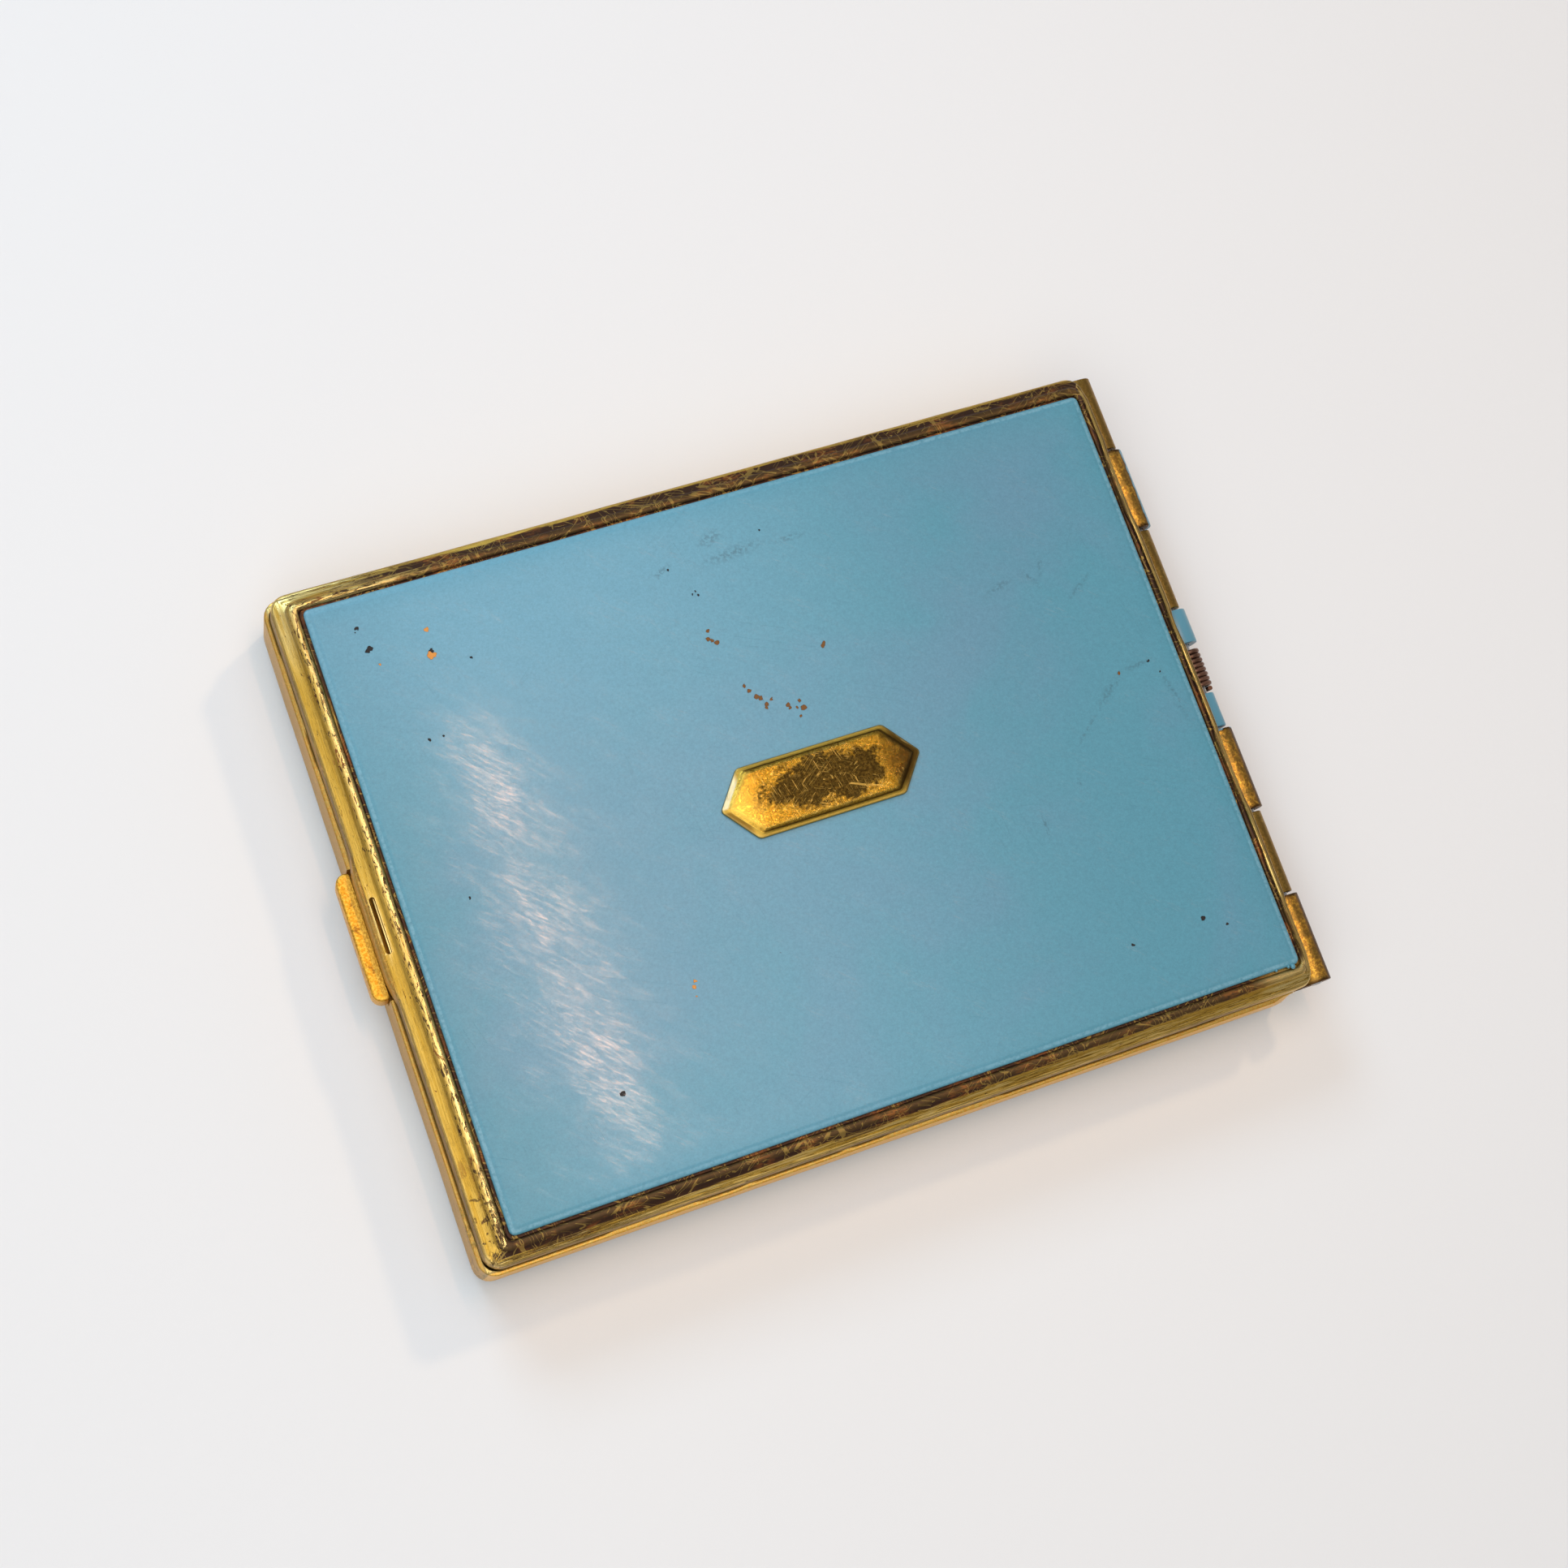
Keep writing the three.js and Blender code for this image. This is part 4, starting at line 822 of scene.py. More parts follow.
def satin(name):
    material, tree, shader = startMaterial(name)
    ribs = maths(tree, "SINE", maths(tree, "MULTIPLY", parts(tree, objectPlace(tree))[1], 2 * math.pi / 0.22))
    ribs = maths(tree, "MULTIPLY", maths(tree, "ADD", ribs, 1.0), 0.5)
    fibres = noiseAt(tree, objectPlace(tree, (0.25, 5.0, 1.0)), 1.0, 4.0, 0.6)
    soil = useGroup(tree, "patches", Size=4.0, Cover=0.45, Edge=0.2)[0]
    colour = mixColour(tree, fibres, (0.62, 0.24, 0.23, 1), (0.82, 0.42, 0.38, 1))
    colour = mixColour(tree, product(tree, [soil, 0.35]), colour, (0.78, 0.54, 0.44, 1))
    setUp(tree, shader, Base_Color=colour, Roughness=maths(tree, "ADD", 0.34, maths(tree, "MULTIPLY", fibres, 0.2)),
          Sheen_Weight=0.25)
    addBump(tree, shader, maths(tree, "ADD", ribs, fibres), 0.03)
    return material


def tableTop(name):
    material, tree, shader = startMaterial(name)
    place = objectPlace(tree)
    cloud = noiseAt(tree, place, 0.004, 4.0, 0.5)
    fibre = noiseAt(tree, place, 0.8, 4.0, 0.6)
    colour = mixColour(tree, cloud, (0.805, 0.81, 0.815, 1), (0.845, 0.85, 0.85, 1))
    setUp(tree, shader, Base_Color=colour, Roughness=maths(tree, "ADD", 0.55, maths(tree, "MULTIPLY", fibre, 0.15)))
    addBump(tree, shader, fibre, 0.02)
    return material


# ---- mesh helpers


def roundedLoop(bm, plan, radius, level, cuts=(1, 1), turns=6):
    x0, x1, y0, y1 = plan
    corners = bmesh.ops.create_grid(bm, x_segments=1, y_segments=1, size=1)["verts"]
    bmesh.ops.scale(bm, vec=((x1 - x0) / 2, (y1 - y0) / 2, 1), verts=corners)
    bmesh.ops.translate(bm, vec=((x0 + x1) / 2, (y0 + y1) / 2, level), verts=corners)
    made = bmesh.ops.bevel(bm, geom=corners, affect="VERTICES", offset=radius, segments=turns, profile=0.5,
                           material=-1)
    face = made["verts"][0].link_faces[0]
    straight = [edge for edge in face.edges
                if abs(edge.verts[0].co.x - edge.verts[1].co.x) < 1e-6 or abs(edge.verts[0].co.y - edge.verts[1].co.y) < 1e-6]
    for edge in straight:
        count = cuts[0] if abs(edge.verts[0].co.y - edge.verts[1].co.y) < 1e-6 else cuts[1]
        if count > 1:
            bmesh.ops.subdivide_edges(bm, edges=[edge], cuts=count - 1)
    loop = list(face.edges)
    bmesh.ops.delete(bm, geom=[face], context="FACES_ONLY")
    return loop


def bridge(bm, loops, closed=False, caps=False):
    for first, second in zip(loops, loops[1:] + loops[:1] if closed else loops[1:]):
        bmesh.ops.bridge_loops(bm, edges=first + second)
    if caps:
        for loop in (loops[0], loops[-1]):
            bmesh.ops.contextual_create(bm, geom=loop)


def addBlock(bm, plan, low, high, bevel=0.0):
    made = bmesh.ops.create_cube(bm, size=1)["verts"]
    centre = middleOf(plan)
    bmesh.ops.scale(bm, vec=(plan[1] - plan[0], plan[3] - plan[2], high - low), verts=made)
    bmesh.ops.translate(bm, vec=(centre[0], centre[1], (low + high) / 2), verts=made)
    if bevel:
        edges = list({edge for vert in made for edge in vert.link_edges})
        bmesh.ops.bevel(bm, geom=edges, affect="EDGES", offset=bevel, segments=2, profile=0.5, material=-1)
    return made


def toObject(bm, name):
    mesh = bpy.data.meshes.new(name)
    bm.to_mesh(mesh)
    bm.free()
    made = bpy.data.objects.new(name, mesh)
    scene.collection.objects.link(made)
    return made


def carve(piece, *cutters):
    for cutter in cutters:
        cut = piece.modifiers.new("cut", "BOOLEAN")
        cut.object, cut.solver, cut.operation = cutter, "EXACT", "DIFFERENCE"
    bpy.context.view_layer.update()
    solid = piece.evaluated_get(bpy.context.evaluated_depsgraph_get())
    piece.data = bpy.data.meshes.new_from_object(solid)
    piece.modifiers.clear()
    for cutter in cutters:
        bpy.data.objects.remove(cutter)


def finishPiece(piece, body, slot, material, *nodeNames, sharp=38):
    if isinstance(piece, tuple):
        bm, name = piece
        bmesh.ops.remove_doubles(bm, verts=bm.verts, dist=0.0005)
        bmesh.ops.recalc_face_normals(bm, faces=bm.faces)
        piece = toObject(bm, name)
    piece.data.transform(Matrix.Scale(mm, 4))
    piece.data.materials.clear()
    piece.data.materials.append(material)
    piece.data.shade_smooth()
    piece.data.set_sharp_from_angle(angle=math.radians(sharp))
    if nodeNames:
        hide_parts(*nodeNames)
    if body:
        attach(piece, body)
    return piece


# ---- the moulded frames of lid and base

frameSet = {
    "cornerRadius": 1.5,
    "panelRadius": 0.5,
    "panelGap": 0.12,
    "wall": 0.5,
    "window": -2.1,
    "ledgeDepth": 0.55,
    "ledgeThickness": 0.4,
    "cuts": (74, 57),
    # share of the way from the outer wall to the panel, stand-out, and depth below the panel's face
    "moulding": [
        (0, 0, 1.40), (0, -0.01, 1.16), (0, -0.06, 0.99), (0, -0.15, 0.88), (0, -0.26, 0.835), (0, -0.38, 0.815),
        (0.30, 0, 0.70), (0.46, 0, 0.61), (0.51, 0, 0.54), (0.55, 0, 0.43), (0.60, 0, 0.345), (0.67, 0, 0.29),
        (0.75, 0, 0.265), (0.82, 0, 0.28), (0.88, 0, 0.35), (0.93, 0, 0.46), (0.955, 0, 0.55),
    ],
    "waviness": 0.035,
}


def mouldedRing(bm, outer, face, up, wallEnd, values):
    inner = grow(panelPlan, values["panelGap"])
    depthEnd = values["ledgeDepth"] + values["ledgeThickness"]
    rows = [(0, -0.10, wallEnd), (0, -0.02, wallEnd - 0.06), (0, 0, wallEnd - 0.16)]
    steps = max(2, round((wallEnd - 1.4) / 1.2))
    rows += [(0, 0, wallEnd - 0.16 + (1.4 - wallEnd + 0.16) * step / steps) for step in range(1, steps)]
    rows += values["moulding"]
    for share in (0.25, 0.6, 1.0):  # out over the ledge, with a slight fall so that no two loops are level
        rows.append((1, values["window"] * share, values["ledgeDepth"] + 0.02 * share))
    rows += [(1, values["window"] * 0.99, depthEnd - 0.04), (1, values["window"] * 0.6, depthEnd - 0.02)]
    rows += [(0, -values["wall"], depthEnd), (0, -values["wall"], wallEnd - 0.1), (0, -values["wall"] + 0.1, wallEnd)]
    loops = []
    for share, out, depth in rows:
        plan = [o + (i - o) * share + side * out for o, i, side in zip(outer, inner, (-1, 1, -1, 1))]
        radius = max(values["cornerRadius"] * (1 - share) + values["panelRadius"] * share + out, 0.3)
        loops.append(roundedLoop(bm, plan, radius, face - up * depth, values["cuts"]))
    bridge(bm, loops, closed=True)


def plateau(value, low, high, soft):
    start = min(max((value - low + soft) / (2 * soft), 0), 1)
    end = min(max((high + soft - value) / (2 * soft), 0), 1)
    share = min(start, end)
    return share * share * (3 - 2 * share)


def handWear(bm, amount):
    for vert in bm.verts:
        push = noise.noise_vector(vert.co / 7.0) * amount + noise.noise_vector(vert.co / 1.9) * amount * 0.35
        push.z *= 0.7
        vert.co += push


hingeSet = {
    "lid": [(-20.35, -12.95), (-4.95, -1.85), (6.25, 13.65), (21.65, 28.5)],
    "base": [(-28.5, -20.65), (-12.65, -5.25), (2.85, 5.95), (13.95, 21.35)],
    "lidRadius": 0.98,
    "baseRadius": 1.3,
    "bore": 0.56,
    "sheet": 0.35,
    "room": 0.3,
    "leafInner": 35.9,
    "leafOuter": 36.25,
    "leafEnds": 26.5,
    "leafDepth": 2.4,
    "seam": 26,  # degrees left open where the roll meets its leaf
}


def makeLidRim(material):
    swell = {"reach": 0.35, "half": 5.4, "soft": 1.1}
    groove = {"x": -36.33, "half": 2.4, "radius": 0.24, "bottom": 8.72}
    bm = bmesh.new()
    mouldedRing(bm, lidPlan, lidFace, 1, lidFace - partingLevel, frameSet)
    bmesh.ops.recalc_face_normals(bm, faces=bm.faces)
    handWear(bm, frameSet["waviness"])
    for vert in bm.verts:
        x, y, z = vert.co
        near = min(max((-35.4 - x) / 0.9, 0), 1)
        vert.co.x -= swell["reach"] * near * plateau(y, -swell["half"], swell["half"], swell["soft"])
        if x > 35.0 and z > 8.2 and abs(y) < 27.4:  # a hollow along the hinge side, and a ridge outside it
            share = plateau(x, 36.17, 40, 0.14) * 0.62 - 0.22
            vert.co.z += share * min((z - 8.2) / 0.5, 1) * plateau(y, -26.6, 26.6, 0.7)
        if x > 36.0 and z > 7.6:  # the hinge side is pressed in over the base's knuckles
            for low, high in hingeSet["base"]:
                vert.co.x -= 0.14 * plateau(y, low + 0.4, high - 0.4, 0.7)
    rim = toObject(bm, "lidRim")

    # openings in the hinge wall, lower over the lid's own knuckles
    spans = sorted([(low, high, 8.086) for low, high in hingeSet["base"]]
                   + [(low, high, 7.73) for low, high in hingeSet["lid"]] + [(-1.85, 2.85, 8.0)])
    cutter = bmesh.new()
    corners = [(-29.5, 6.0), (-29.5, spans[0][2])]
    for (low, high, top), (nextLow, nextHigh, nextTop) in zip(spans, spans[1:]):
        turn = high + hingeSet["room"] if top > nextTop else nextLow - hingeSet["room"]
        corners += [(turn, top), (turn, nextTop)]
    corners += [(29.5, spans[-1][2]), (29.5, 6.0)]
    face = cutter.faces.new([cutter.verts.new((35.35, y, z)) for y, z in corners])
    made = bmesh.ops.extrude_face_region(cutter, geom=[face])["geom"]
    bmesh.ops.translate(cutter, vec=(2.6, 0, 0), verts=[item for item in made if isinstance(item, bmesh.types.BMVert)])
    bmesh.ops.recalc_face_normals(cutter, faces=cutter.faces)
    hingeCut = toObject(cutter, "hingeCut")

    cutter = bmesh.new()
    plan = [groove["x"] - groove["radius"], groove["x"] + groove["radius"], -groove["half"], groove["half"]]
    loops = [roundedLoop(cutter, grow(plan, -0.12), 0.11, groove["bottom"], (1, 8)),
             roundedLoop(cutter, plan, 0.23, groove["bottom"] + 0.2, (1, 8)),
             roundedLoop(cutter, plan, 0.23, groove["bottom"] + 1.4, (1, 8))]
    bridge(cutter, loops, caps=True)
    bmesh.ops.recalc_face_normals(cutter, faces=cutter.faces)
    carve(rim, hingeCut, toObject(cutter, "grooveCut"))
    return finishPiece(rim, "lid", "lid_brass", material, "lid_frame", sharp=45)


def makeBaseRim(material):
    notch = {"half": 5.6, "bottom": 4.10}
    corner = {"low": 34.2, "high": 37.5, "push": 0.33}
    bm = bmesh.new()
    mouldedRing(bm, basePlan, 0.0, -1, rimLevel, frameSet)
    bmesh.ops.recalc_face_normals(bm, faces=bm.faces)
    handWear(bm, frameSet["waviness"] * 0.7)
    for vert in bm.verts:
        x, y, z = vert.co
        if abs(y) > 28.2 and z > 3:  # the rim is nipped in beside the hinge
            share = plateau(x, corner["low"], corner["high"], 0.5) * min((z - 3) / 1.5, 1)
            vert.co.y -= math.copysign(corner["push"] * share, y)
        if z < 0.0:
            vert.co.z = 0.0
    rim = toObject(bm, "baseRim")
    cutters = []
    for plan, low in (([-39, -36.4, -notch["half"], notch["half"]], notch["bottom"]),
                      ([35.3, 38.5, lidPlan[2] - 0.02, lidPlan[3] + 0.02], 5.35)):
        cutter = bmesh.new()
        addBlock(cutter, plan, low, 9.0)
        cutters.append(toObject(cutter, "cut"))
    carve(rim, *cutters)
    return finishPiece(rim, "base", "base_brass", material, "base_frame", sharp=45)


# ---- enamelled panels

panelSet = {
    # inset, depth below the face, from the underside to the middle
    "section": [
        (0.10, 0.50), (0.0, 0.44), (0.0, 0.27), (0.04, 0.20), (0.14, 0.150), (0.34, 0.115), (0.50, 0.085),
        (0.60, 0.050), (0.72, 0.036), (2.0, 0.030), (5.0, 0.020), (9.0, 0.012), (14.0, 0.004), (19.0, 0.0),
    ],
    "cuts": (70, 53),
}


def makePanel(name, node, face, up, body, slot, material, drip=False):
    bm = bmesh.new()
    loops = []
    for inset, depth in panelSet["section"]:
        radius = max(0.5 - inset, 0.28)
        loops.append(roundedLoop(bm, grow(panelPlan, -inset), radius, face - up * depth, panelSet["cuts"], 5))
    bridge(bm, loops, caps=True)
    if drip:  # a run of enamel over the edge, and a smaller one beside it
        for x, y, size in ((34.85, -26.62, 0.22), (34.45, -26.52, 0.14), (33.3, -26.5, 0.12)):
            blob = bmesh.ops.create_icosphere(bm, subdivisions=2, radius=1)["verts"]
            bmesh.ops.scale(bm, vec=(size, size * 1.15, 0.16), verts=blob)
            bmesh.ops.translate(bm, vec=(x, y, face - 0.20), verts=blob)
    return finishPiece((bm, name), body, slot, material, node, sharp=60)


# ---- plaque

plaqueSet = {
    "tip": 2.4,
    "cornerRadius": 0.28,
    # inset and height above the panel
    "section": [
        (0.05, 0.02), (0.0, 0.06), (0.0, 0.20), (0.04, 0.26), (0.12, 0.295), (0.22, 0.30), (0.30, 0.33),
        (0.50, 0.50), (0.62, 0.570), (0.72, 0.600), (0.86, 0.612), (1.4, 0.622), (2.1, 0.640), (2.7, 0.650),
    ],
}


def makePlaque(material):
    values = plaqueSet
    plan = planOf("plaque")
    centre = middleOf(plan)
    half, side = (plan[1] - plan[0]) / 2, (plan[3] - plan[2]) / 2
    bm = bmesh.new()
    loops = []
    for inset, height in values["section"]:
        long, wide = half - inset * 1.2, side - inset
        shoulder = long - values["tip"] * (wide / side) ** 0.25 if wide > 0.5 else long - 1.0
        corners = [(long, 0), (shoulder, wide), (-shoulder, wide), (-long, 0), (-shoulder, -wide), (shoulder, -wide)]
        verts = [bm.verts.new((centre[0] + x, centre[1] + y, lidFace + height)) for x, y in corners]
        bm.faces.new(verts)
        radius = max(values["cornerRadius"] - inset * 0.3, 0.06)
        made = bmesh.ops.bevel(bm, geom=verts, affect="VERTICES", offset=radius, segments=4, profile=0.5,
                               material=-1)
        face = made["verts"][0].link_faces[0]
        for edge in [edge for edge in face.edges if edge.calc_length() > 0.45]:
            level = abs(edge.verts[0].co.y - edge.verts[1].co.y) < 0.001
            bmesh.ops.subdivide_edges(bm, edges=[edge], cuts=23 if level else 5)
        loops.append(list(face.edges))
        bmesh.ops.delete(bm, geom=[face], context="FACES_ONLY")
    bridge(bm, loops, caps=True)
    for vert in bm.verts:  # the face is gently crowned along its length
        share = (vert.co.x - centre[0]) / half
        if vert.co.z > lidFace + 0.45:
            vert.co.z -= 0.20 * share ** 4
        if vert.co.z > lidFace + 0.28:
            vert.co += noise.noise_vector(vert.co / 2.3) * 0.012
    return finishPiece((bm, "plaqueBadge"), "lid", "plaque_brass", material, "plaque", sharp=50)


# ---- hinge


def rolledKnuckle(bm, low, high, radius, up):
    values = hingeSet
    ends = [bm.verts.new((pinX, low, pinZ + up * reach)) for reach in (values["bore"], radius)]
    start = bm.edges.new(ends)
    before = set(bm.faces)
    turn = math.radians(360 - values["seam"]) * up
    bmesh.ops.spin(bm, geom=[*ends, start], cent=(pinX, 0, pinZ), axis=(0, 1, 0), angle=turn, steps=30,
                   use_merge=False, use_duplicate=False)
    web = bmesh.ops.extrude_edge_only(bm, edges=[start])["geom"]
    tips = [item for item in web if isinstance(item, bmesh.types.BMVert)]
    bmesh.ops.translate(bm, vec=(values["leafInner"] - pinX, 0, 0), verts=tips)
    nearPin = min(tips, key=lambda vert: abs(vert.co.z - pinZ))
    nearPin.co.z = pinZ + up * (radius - values["sheet"])
    section = [face for face in bm.faces if face not in before]
    made = bmesh.ops.extrude_face_region(bm, geom=section)["geom"]
    bmesh.ops.translate(bm, vec=(0, high - low, 0), verts=[item for item in made if isinstance(item, bmesh.types.BMVert)])
    faces = [face for face in bm.faces if face not in before]
    bmesh.ops.recalc_face_normals(bm, faces=faces)
    rims = [edge for edge in {edge for face in faces for edge in face.edges}
            if len(edge.link_faces) == 2 and edge.calc_face_angle(0) > 1.0]
    bmesh.ops.bevel(bm, geom=rims, affect="EDGES", offset=0.06, segments=2, profile=0.5, material=-1,
                    clamp_overlap=True)


def makeLeaf(name, side, up, material, slot, top, node):
    values = hingeSet
    radius = values[side + "Radius"]
    bm = bmesh.new()
    for low, high in values[side]:
        rolledKnuckle(bm, low, high, radius, up)
    for vert in bm.verts:
        vert.co += noise.noise_vector(vert.co / 2.6) * 0.012
    root = pinZ + up * (radius - values["sheet"])
    strip = [values["leafInner"], values["leafOuter"], -values["leafEnds"], values["leafEnds"]]
    addBlock(bm, strip, min(root, top), max(root, top), 0.05)
    return finishPiece((bm, name), side, slot, material, node, sharp=50)


def makePin(material):
    low, high = pinBox[0].y / mm, pinBox[1].y / mm
    bm = bmesh.new()
    made = bmesh.ops.create_cone(bm, segments=28, radius1=0.5, radius2=0.5, depth=high - low, cap_ends=True)["verts"]
    ends = [edge for edge in bm.edges if edge.is_manifold and edge.calc_face_angle(0) > 1]
    bmesh.ops.bevel(bm, geom=ends, affect="EDGES", offset=0.16, segments=4, profile=0.5, material=-1)
    bmesh.ops.rotate(bm, cent=(0, 0, 0), matrix=Matrix.Rotation(math.pi / 2, 3, "X"), verts=bm.verts)
    bmesh.ops.translate(bm, vec=(pinX, (low + high) / 2, pinZ), verts=bm.verts)
    return finishPiece((bm, "hingePin"), "base", "steel", material, "hinge_pin")


def makeCoil(material):
    coil = {"low": -1.55, "high": 2.55, "wire": 0.42, "turns": 8.5, "radius": 0.98}
    bm = bmesh.new()
    ring = bmesh.ops.create_circle(bm, segments=10, radius=coil["wire"] / 2, cap_ends=True)["verts"]
    bmesh.ops.translate(bm, vec=(pinX + coil["radius"], 0, pinZ), verts=ring)
    bmesh.ops.rotate(bm, cent=(pinX + coil["radius"], 0, pinZ), matrix=Matrix.Rotation(0, 3, "X"), verts=ring)
    steps = round(coil["turns"] * 22)
    rise_ = (coil["high"] - coil["low"] - coil["wire"]) / steps
    bmesh.ops.translate(bm, vec=(0, coil["low"] + coil["wire"] / 2, 0), verts=ring)
    geometry = list(bm.verts) + list(bm.edges) + list(bm.faces)
    bmesh.ops.spin(bm, geom=geometry, cent=(pinX, 0, pinZ), axis=(0, 1, 0), dvec=(0, rise_, 0),
                   angle=math.tau * coil["turns"], steps=steps, use_merge=False, use_duplicate=False)
    return finishPiece((bm, "hingeCoil"), "base", "spring_steel", material, "hinge_spring")


# ---- thumb piece

thumbSet = {
    "plan": [-38.4, -36.6, -5.45, 5.45],
    "radius": 0.9,
    "trim": -37.15,
    "section": [(0.14, 4.25), (0.04, 4.29), (0.0, 4.38), (0.0, 5.3), (0.0, 6.16), (0.03, 6.26), (0.11, 6.32),
                (0.22, 6.345), (0.34, 6.35)],
    "neck": ([-37.25, -36.6, -4.0, 4.0], 4.60, 5.50),
    "plate": ([-36.65, -35.6, -6.5, 6.5], 4.40, 5.50),
}


def makeThumb(material):
    values = thumbSet
    bm = bmesh.new()
    loops = [roundedLoop(bm, grow(values["plan"], -inset), max(values["radius"] - inset, 0.2), level, (4, 22), 7)
             for inset, level in values["section"]]
    bridge(bm, loops, caps=True)
    cut = bmesh.ops.bisect_plane(bm, geom=bm.verts[:] + bm.edges[:] + bm.faces[:], plane_co=(values["trim"], 0, 0),
                                 plane_no=(1, 0, 0), clear_outer=True)["geom_cut"]
    bmesh.ops.holes_fill(bm, edges=[item for item in cut if isinstance(item, bmesh.types.BMEdge)])
    for vert in bm.verts:
        vert.co += noise.noise_vector(vert.co / 2.1) * 0.02
    for name in ("neck", "plate"):
        addBlock(bm, *values[name], 0.05)
    return finishPiece((bm, "thumbPiece"), "catch", "hinge_brass", material, "catch_button", sharp=50)


# ---- pieces whose drawn shape is right and only wants rounded edges


tabSet = {"root": -33.8, "keep": 0.42}  # the inner lid's finger tab, drawn back to let the catch strip move in


def roundedCopy(name, node, body, slot, material, width, segments=2):
    bm = bmesh.new()
    bm.from_mesh(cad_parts[node].data)
    bmesh.ops.scale(bm, vec=(1000, 1000, 1000), verts=bm.verts)
    if name == "innerLid":
        for vert in bm.verts:
            vert.co.x = tabSet["root"] + (vert.co.x - tabSet["root"]) * (tabSet["keep"] if vert.co.x < tabSet["root"] else 1)
    bmesh.ops.remove_doubles(bm, verts=bm.verts, dist=0.002)
    bmesh.ops.dissolve_limit(bm, angle_limit=math.radians(3), verts=bm.verts, edges=bm.edges)
    edges = [edge for edge in bm.edges if edge.is_manifold and edge.calc_face_angle(0) > math.radians(32)]
    bmesh.ops.bevel(bm, geom=edges, affect="EDGES", offset=width, segments=segments, profile=0.5, material=-1,
                    clamp_overlap=True)
    return finishPiece((bm, name), body, slot, material, node, sharp=38)


def bendStrip(strip):
    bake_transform(strip)


# ---- puff, its ribbon, and the gauze

puffSet = {
    "corner": 9.0,
    "swell": 26.0,  # the cloth is worked larger than life, and brought back to size after
    "voxel": 0.75,
    "frames": 20,
    "cap": 1.1,  # how far a point may move, in mm
    "seam": 0.34,
}


def makePuff(material, seamMaterial):
    plan = planOf("powder_puff")
    low, high = levelsOf("powder_puff")
    middle = (low + high) / 2
    bm = bmesh.new()
    rows = [(5.5, low + 0.55), (2.6, low + 0.50), (1.4, low + 0.62), (0.75, middle - 0.2), (0.6, middle),
            (0.75, middle + 0.2), (1.4, high - 0.62), (2.6, high - 0.50), (5.5, high - 0.55)]
    loops = [roundedLoop(bm, grow(plan, -inset), puffSet["corner"] - inset * 0.6, level, (36, 30), 10)
             for inset, level in rows]
    bridge(bm, loops, caps=True)
    bmesh.ops.recalc_face_normals(bm, faces=bm.faces)
    puff = toObject(bm, "powderPuff")
    big = puffSet["swell"]
    puff.data.transform(Matrix.Scale(mm * big, 4))
    remesh = puff.modifiers.new("remesh", "REMESH")
    remesh.mode, remesh.voxel_size = "VOXEL", puffSet["voxel"] * mm * big
    bpy.context.view_layer.update()
    puff.data = bpy.data.meshes.new_from_object(puff.evaluated_get(bpy.context.evaluated_depsgraph_get()))
    puff.modifiers.clear()
    rest = [vert.co.copy() for vert in puff.data.vertices]
    cloth = puff.modifiers.new("cloth", "CLOTH")
    cloth.settings.use_pressure = True
    cloth.settings.uniform_pressure_force = 4
    cloth.settings.effector_weights.gravity = 0
    cloth.settings.tension_stiffness = cloth.settings.compression_stiffness = 30
    for step in range(1, puffSet["frames"] + 1):
        scene.frame_set(step)
    puff.data = bpy.data.meshes.new_from_object(puff.evaluated_get(bpy.context.evaluated_depsgraph_get()))
    puff.modifiers.clear()
    scene.frame_set(1)
    cap = puffSet["cap"] * mm * big
    for vert, start in zip(puff.data.vertices, rest):
        move = vert.co - start
        if move.length > cap:
            vert.co = start + move.normalized() * cap
    puff.data.transform(Matrix.Scale(1 / (mm * big), 4))
    for vert in puff.data.vertices:  # it rests on the gauze, and the ribbon and the inner lid hold its top down
        vert.co += noise.noise_vector(vert.co / 3.4) * 0.10
        vert.co.z = min(max(vert.co.z, low), high)
        vert.co.x = min(max(vert.co.x, plan[0] + 0.1), plan[1] - 0.1)
        vert.co.y = min(max(vert.co.y, plan[2] + 0.1), plan[3] - 0.1)
    finishPiece(puff, "base", "puff_velour", material, "powder_puff", sharp=180)
    smooth = puff.modifiers.new("smooth", "SUBSURF")
    smooth.levels = smooth.render_levels = 1

    # corded seam round the edge
    bm = bmesh.new()
    loops = []
    for step in range(8):
        turn = math.tau * step / 8
        inset = 0.30 + puffSet["seam"] * (1 - math.cos(turn))
        level = middle + puffSet["seam"] * math.sin(turn)
        loops.append(roundedLoop(bm, grow(plan, -inset), puffSet["corner"] - inset * 0.6, level, (60, 50), 14))
    bridge(bm, loops, closed=True)
    cord = finishPiece((bm, "puffSeam"), "base", "puff_velour", seamMaterial, sharp=180)
    return puff, cord


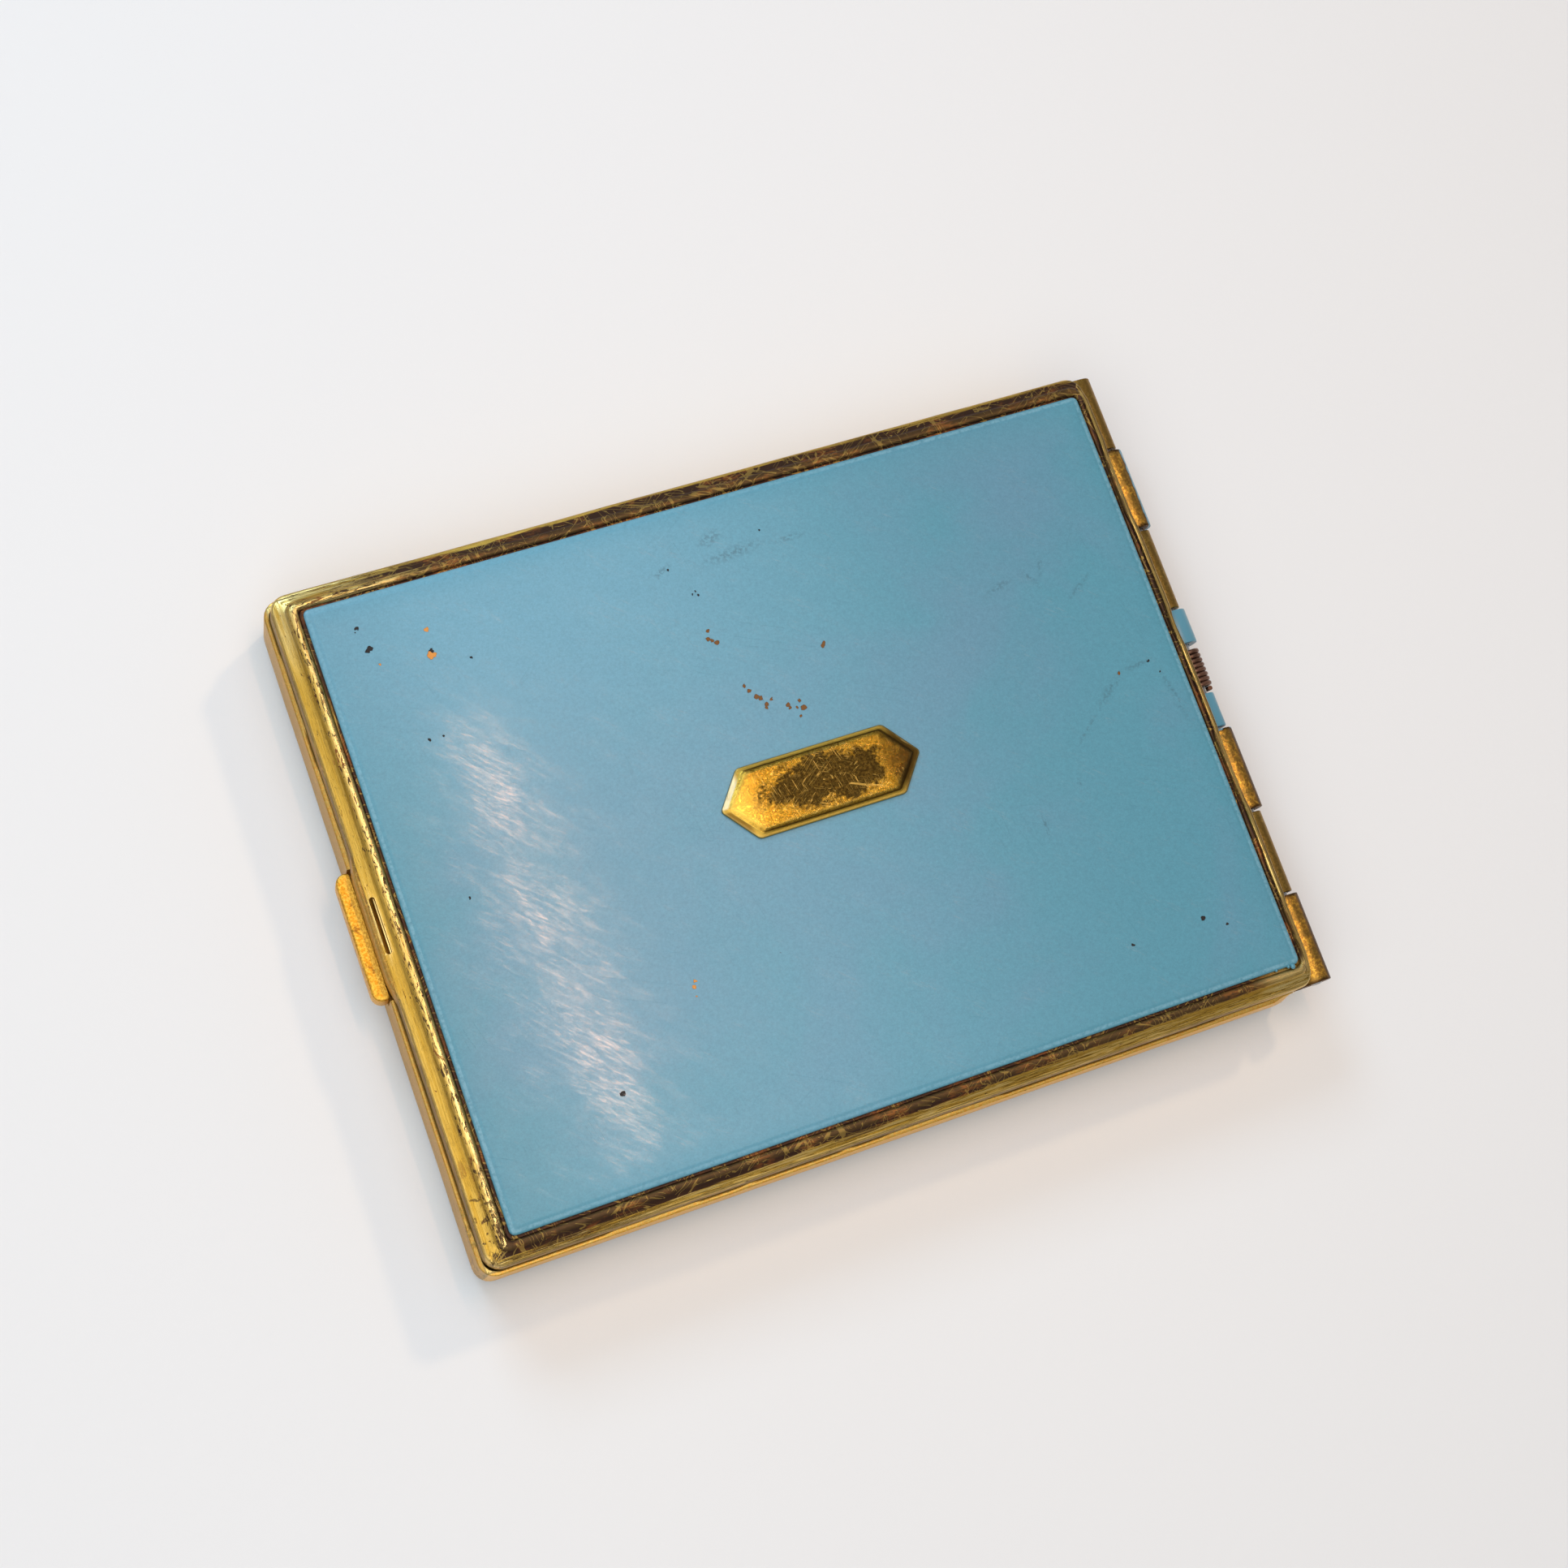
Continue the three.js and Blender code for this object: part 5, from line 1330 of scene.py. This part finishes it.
def makeRibbon(material):
    plan = planOf("puff_ribbon")
    low, high = levelsOf("puff_ribbon")
    bm = bmesh.new()
    made = bmesh.ops.create_grid(bm, x_segments=10, y_segments=34, size=1)["verts"]
    centre = middleOf(plan)
    bmesh.ops.scale(bm, vec=((plan[1] - plan[0]) / 2 - 0.05, (plan[3] - plan[2]) / 2 - 0.05, 1), verts=made)
    bmesh.ops.translate(bm, vec=(centre[0], centre[1], low + 0.03), verts=made)
    top = high - low - 0.05
    for vert in bm.verts:  # it bows up in the middle and is sewn down at both ends
        share = abs(vert.co.y - centre[1]) / ((plan[3] - plan[2]) / 2)
        edge = abs(vert.co.x - centre[0]) / ((plan[1] - plan[0]) / 2)
        vert.co.z += top * 0.55 * (1 - share ** 3) + top * 0.25 * noise.noise(vert.co / 2.2) * (1 - share)
        vert.co.z -= 0.03 * edge ** 4
    ribbon = finishPiece((bm, "puffRibbon"), "base", "ribbon_satin", material, "puff_ribbon", sharp=180)
    wall = ribbon.modifiers.new("thickness", "SOLIDIFY")
    wall.thickness, wall.offset = 0.05 * mm, 0
    return ribbon


def makeGauze(material):
    plan = planOf("sifter_gauze")
    low, high = levelsOf("sifter_gauze")
    bm = bmesh.new()
    made = bmesh.ops.create_grid(bm, x_segments=48, y_segments=40, size=1)["verts"]
    centre = middleOf(plan)
    half = (plan[1] - plan[0]) / 2, (plan[3] - plan[2]) / 2
    bmesh.ops.scale(bm, vec=(half[0], half[1], 1), verts=made)
    bmesh.ops.translate(bm, vec=(centre[0], centre[1], high - 0.02), verts=made)
    for vert in bm.verts:  # stretched over the frame, a little slack in the middle
        x, y = (vert.co.x - centre[0]) / half[0], (vert.co.y - centre[1]) / half[1]
        slack = max(0, 1 - x * x) * max(0, 1 - y * y)
        vert.co.z -= 0.16 * slack + 0.03 * slack * noise.noise(vert.co / 5)
    gauze = finishPiece((bm, "sifterGauze"), "base", "gauze", material, "sifter_gauze", sharp=180)
    return gauze


# ---- build

makeCamera(cameraSet)
makeLights(lightSet)
makeGroups()
print("camera, lights and shared effects")

lidBrass = frameBrass("lidBrass", 1.0)
baseBrass = frameBrass("baseBrass", 0.75)
inner = {name: sheetBrass(name, *values) for name, values in sheetBrasses.items()}
hingePaint = {"spans": [(-5.3, -1.6), (2.6, 6.3)], "outer": [(13.0, 22.0)], "outerX": 38.42}
hingeBrass = sandyBrass("hingeBrass", "orange", hingePaint)
leafBrass = sandyBrass("leafBrass", "dull", {"spans": [(-5.3, -1.6)], "outer": [], "outerX": 38.42})
thumbBrass = sandyBrass("thumbBrass", "thumb", None)
lidEnamel = enamel("lidEnamel", True)
baseEnamel = enamel("baseEnamel", False)
steel = darkMetal("pinSteel", (0.16, 0.13, 0.11, 1), (0.42, 0.38, 0.33, 1), 0.25)
springWire = darkMetal("springWire", (0.060, 0.026, 0.016, 1), (0.13, 0.065, 0.04, 1), 0.30)
print("finishes")

makeLidRim(lidBrass)
makeBaseRim(baseBrass)
makePanel("lidPanel", "lid_panel", lidFace, 1, "lid", "lid_enamel", lidEnamel, drip=True)
makePanel("basePanel", "base_panel", 0.0, -1, "base", "base_enamel", baseEnamel)
makePlaque(plaqueBrass("plaqueBrass"))
print("frames, panels and plaque")

makeLeaf("lidLeaf", "lid", 1, leafBrass, "lid_brass", 8.79, "lid_hinge_leaf")
makeLeaf("baseLeaf", "base", -1, hingeBrass, "hinge_brass", 3.0, "base_hinge_leaf")
makePin(steel)
makeCoil(springWire)
makeThumb(thumbBrass)
print("hinge and catch")

roundedCopy("mirrorBezel", "mirror_bezel", "lid", "inner_brass", inner["innerBrass"], 0.08)
roundedCopy("mirrorGlass", "mirror", "lid", "mirror_glass", mirrorGlass("mirrorGlass"), 0.10)
roundedCopy("mirrorCard", "mirror_card", "lid", "card", cardBoard("mirrorCard"), 0.03, 1)
roundedCopy("catchKeeper", "catch_keeper", "lid", "inner_brass", inner["innerBrass"], 0.06)
bendStrip(roundedCopy("catchStrip", "catch_spring", None, "spring_steel", steel, 0.05))
roundedCopy("powderWell", "powder_well", "base", "inner_brass", inner["innerBrass"], 0.08)
roundedCopy("sifterRing", "sifter_frame", "base", "inner_brass", inner["sifterBrass"], 0.08)
roundedCopy("doorLeaf", "well_hinge_leaf", "base", "inner_brass", inner["innerBrass"], 0.05)
roundedCopy("doorPin", "door_pin", "base", "steel", steel, 0.06)
roundedCopy("innerLid", "powder_door", "inner_lid", "door_brass", inner["doorBrass"], 0.07)
makeGauze(gauzeCloth("sifterGauze"))
velourFinish = velour("puffVelour")
makePuff(velourFinish, velourFinish)
makeRibbon(satin("puffRibbon"))
print("mirror, well, inner lid and puff")

bm = bmesh.new()
bmesh.ops.create_grid(bm, x_segments=2, y_segments=2, size=1.5)
floor = toObject(bm, "tableTop")
floor.data.materials.append(tableTop("tableTop"))
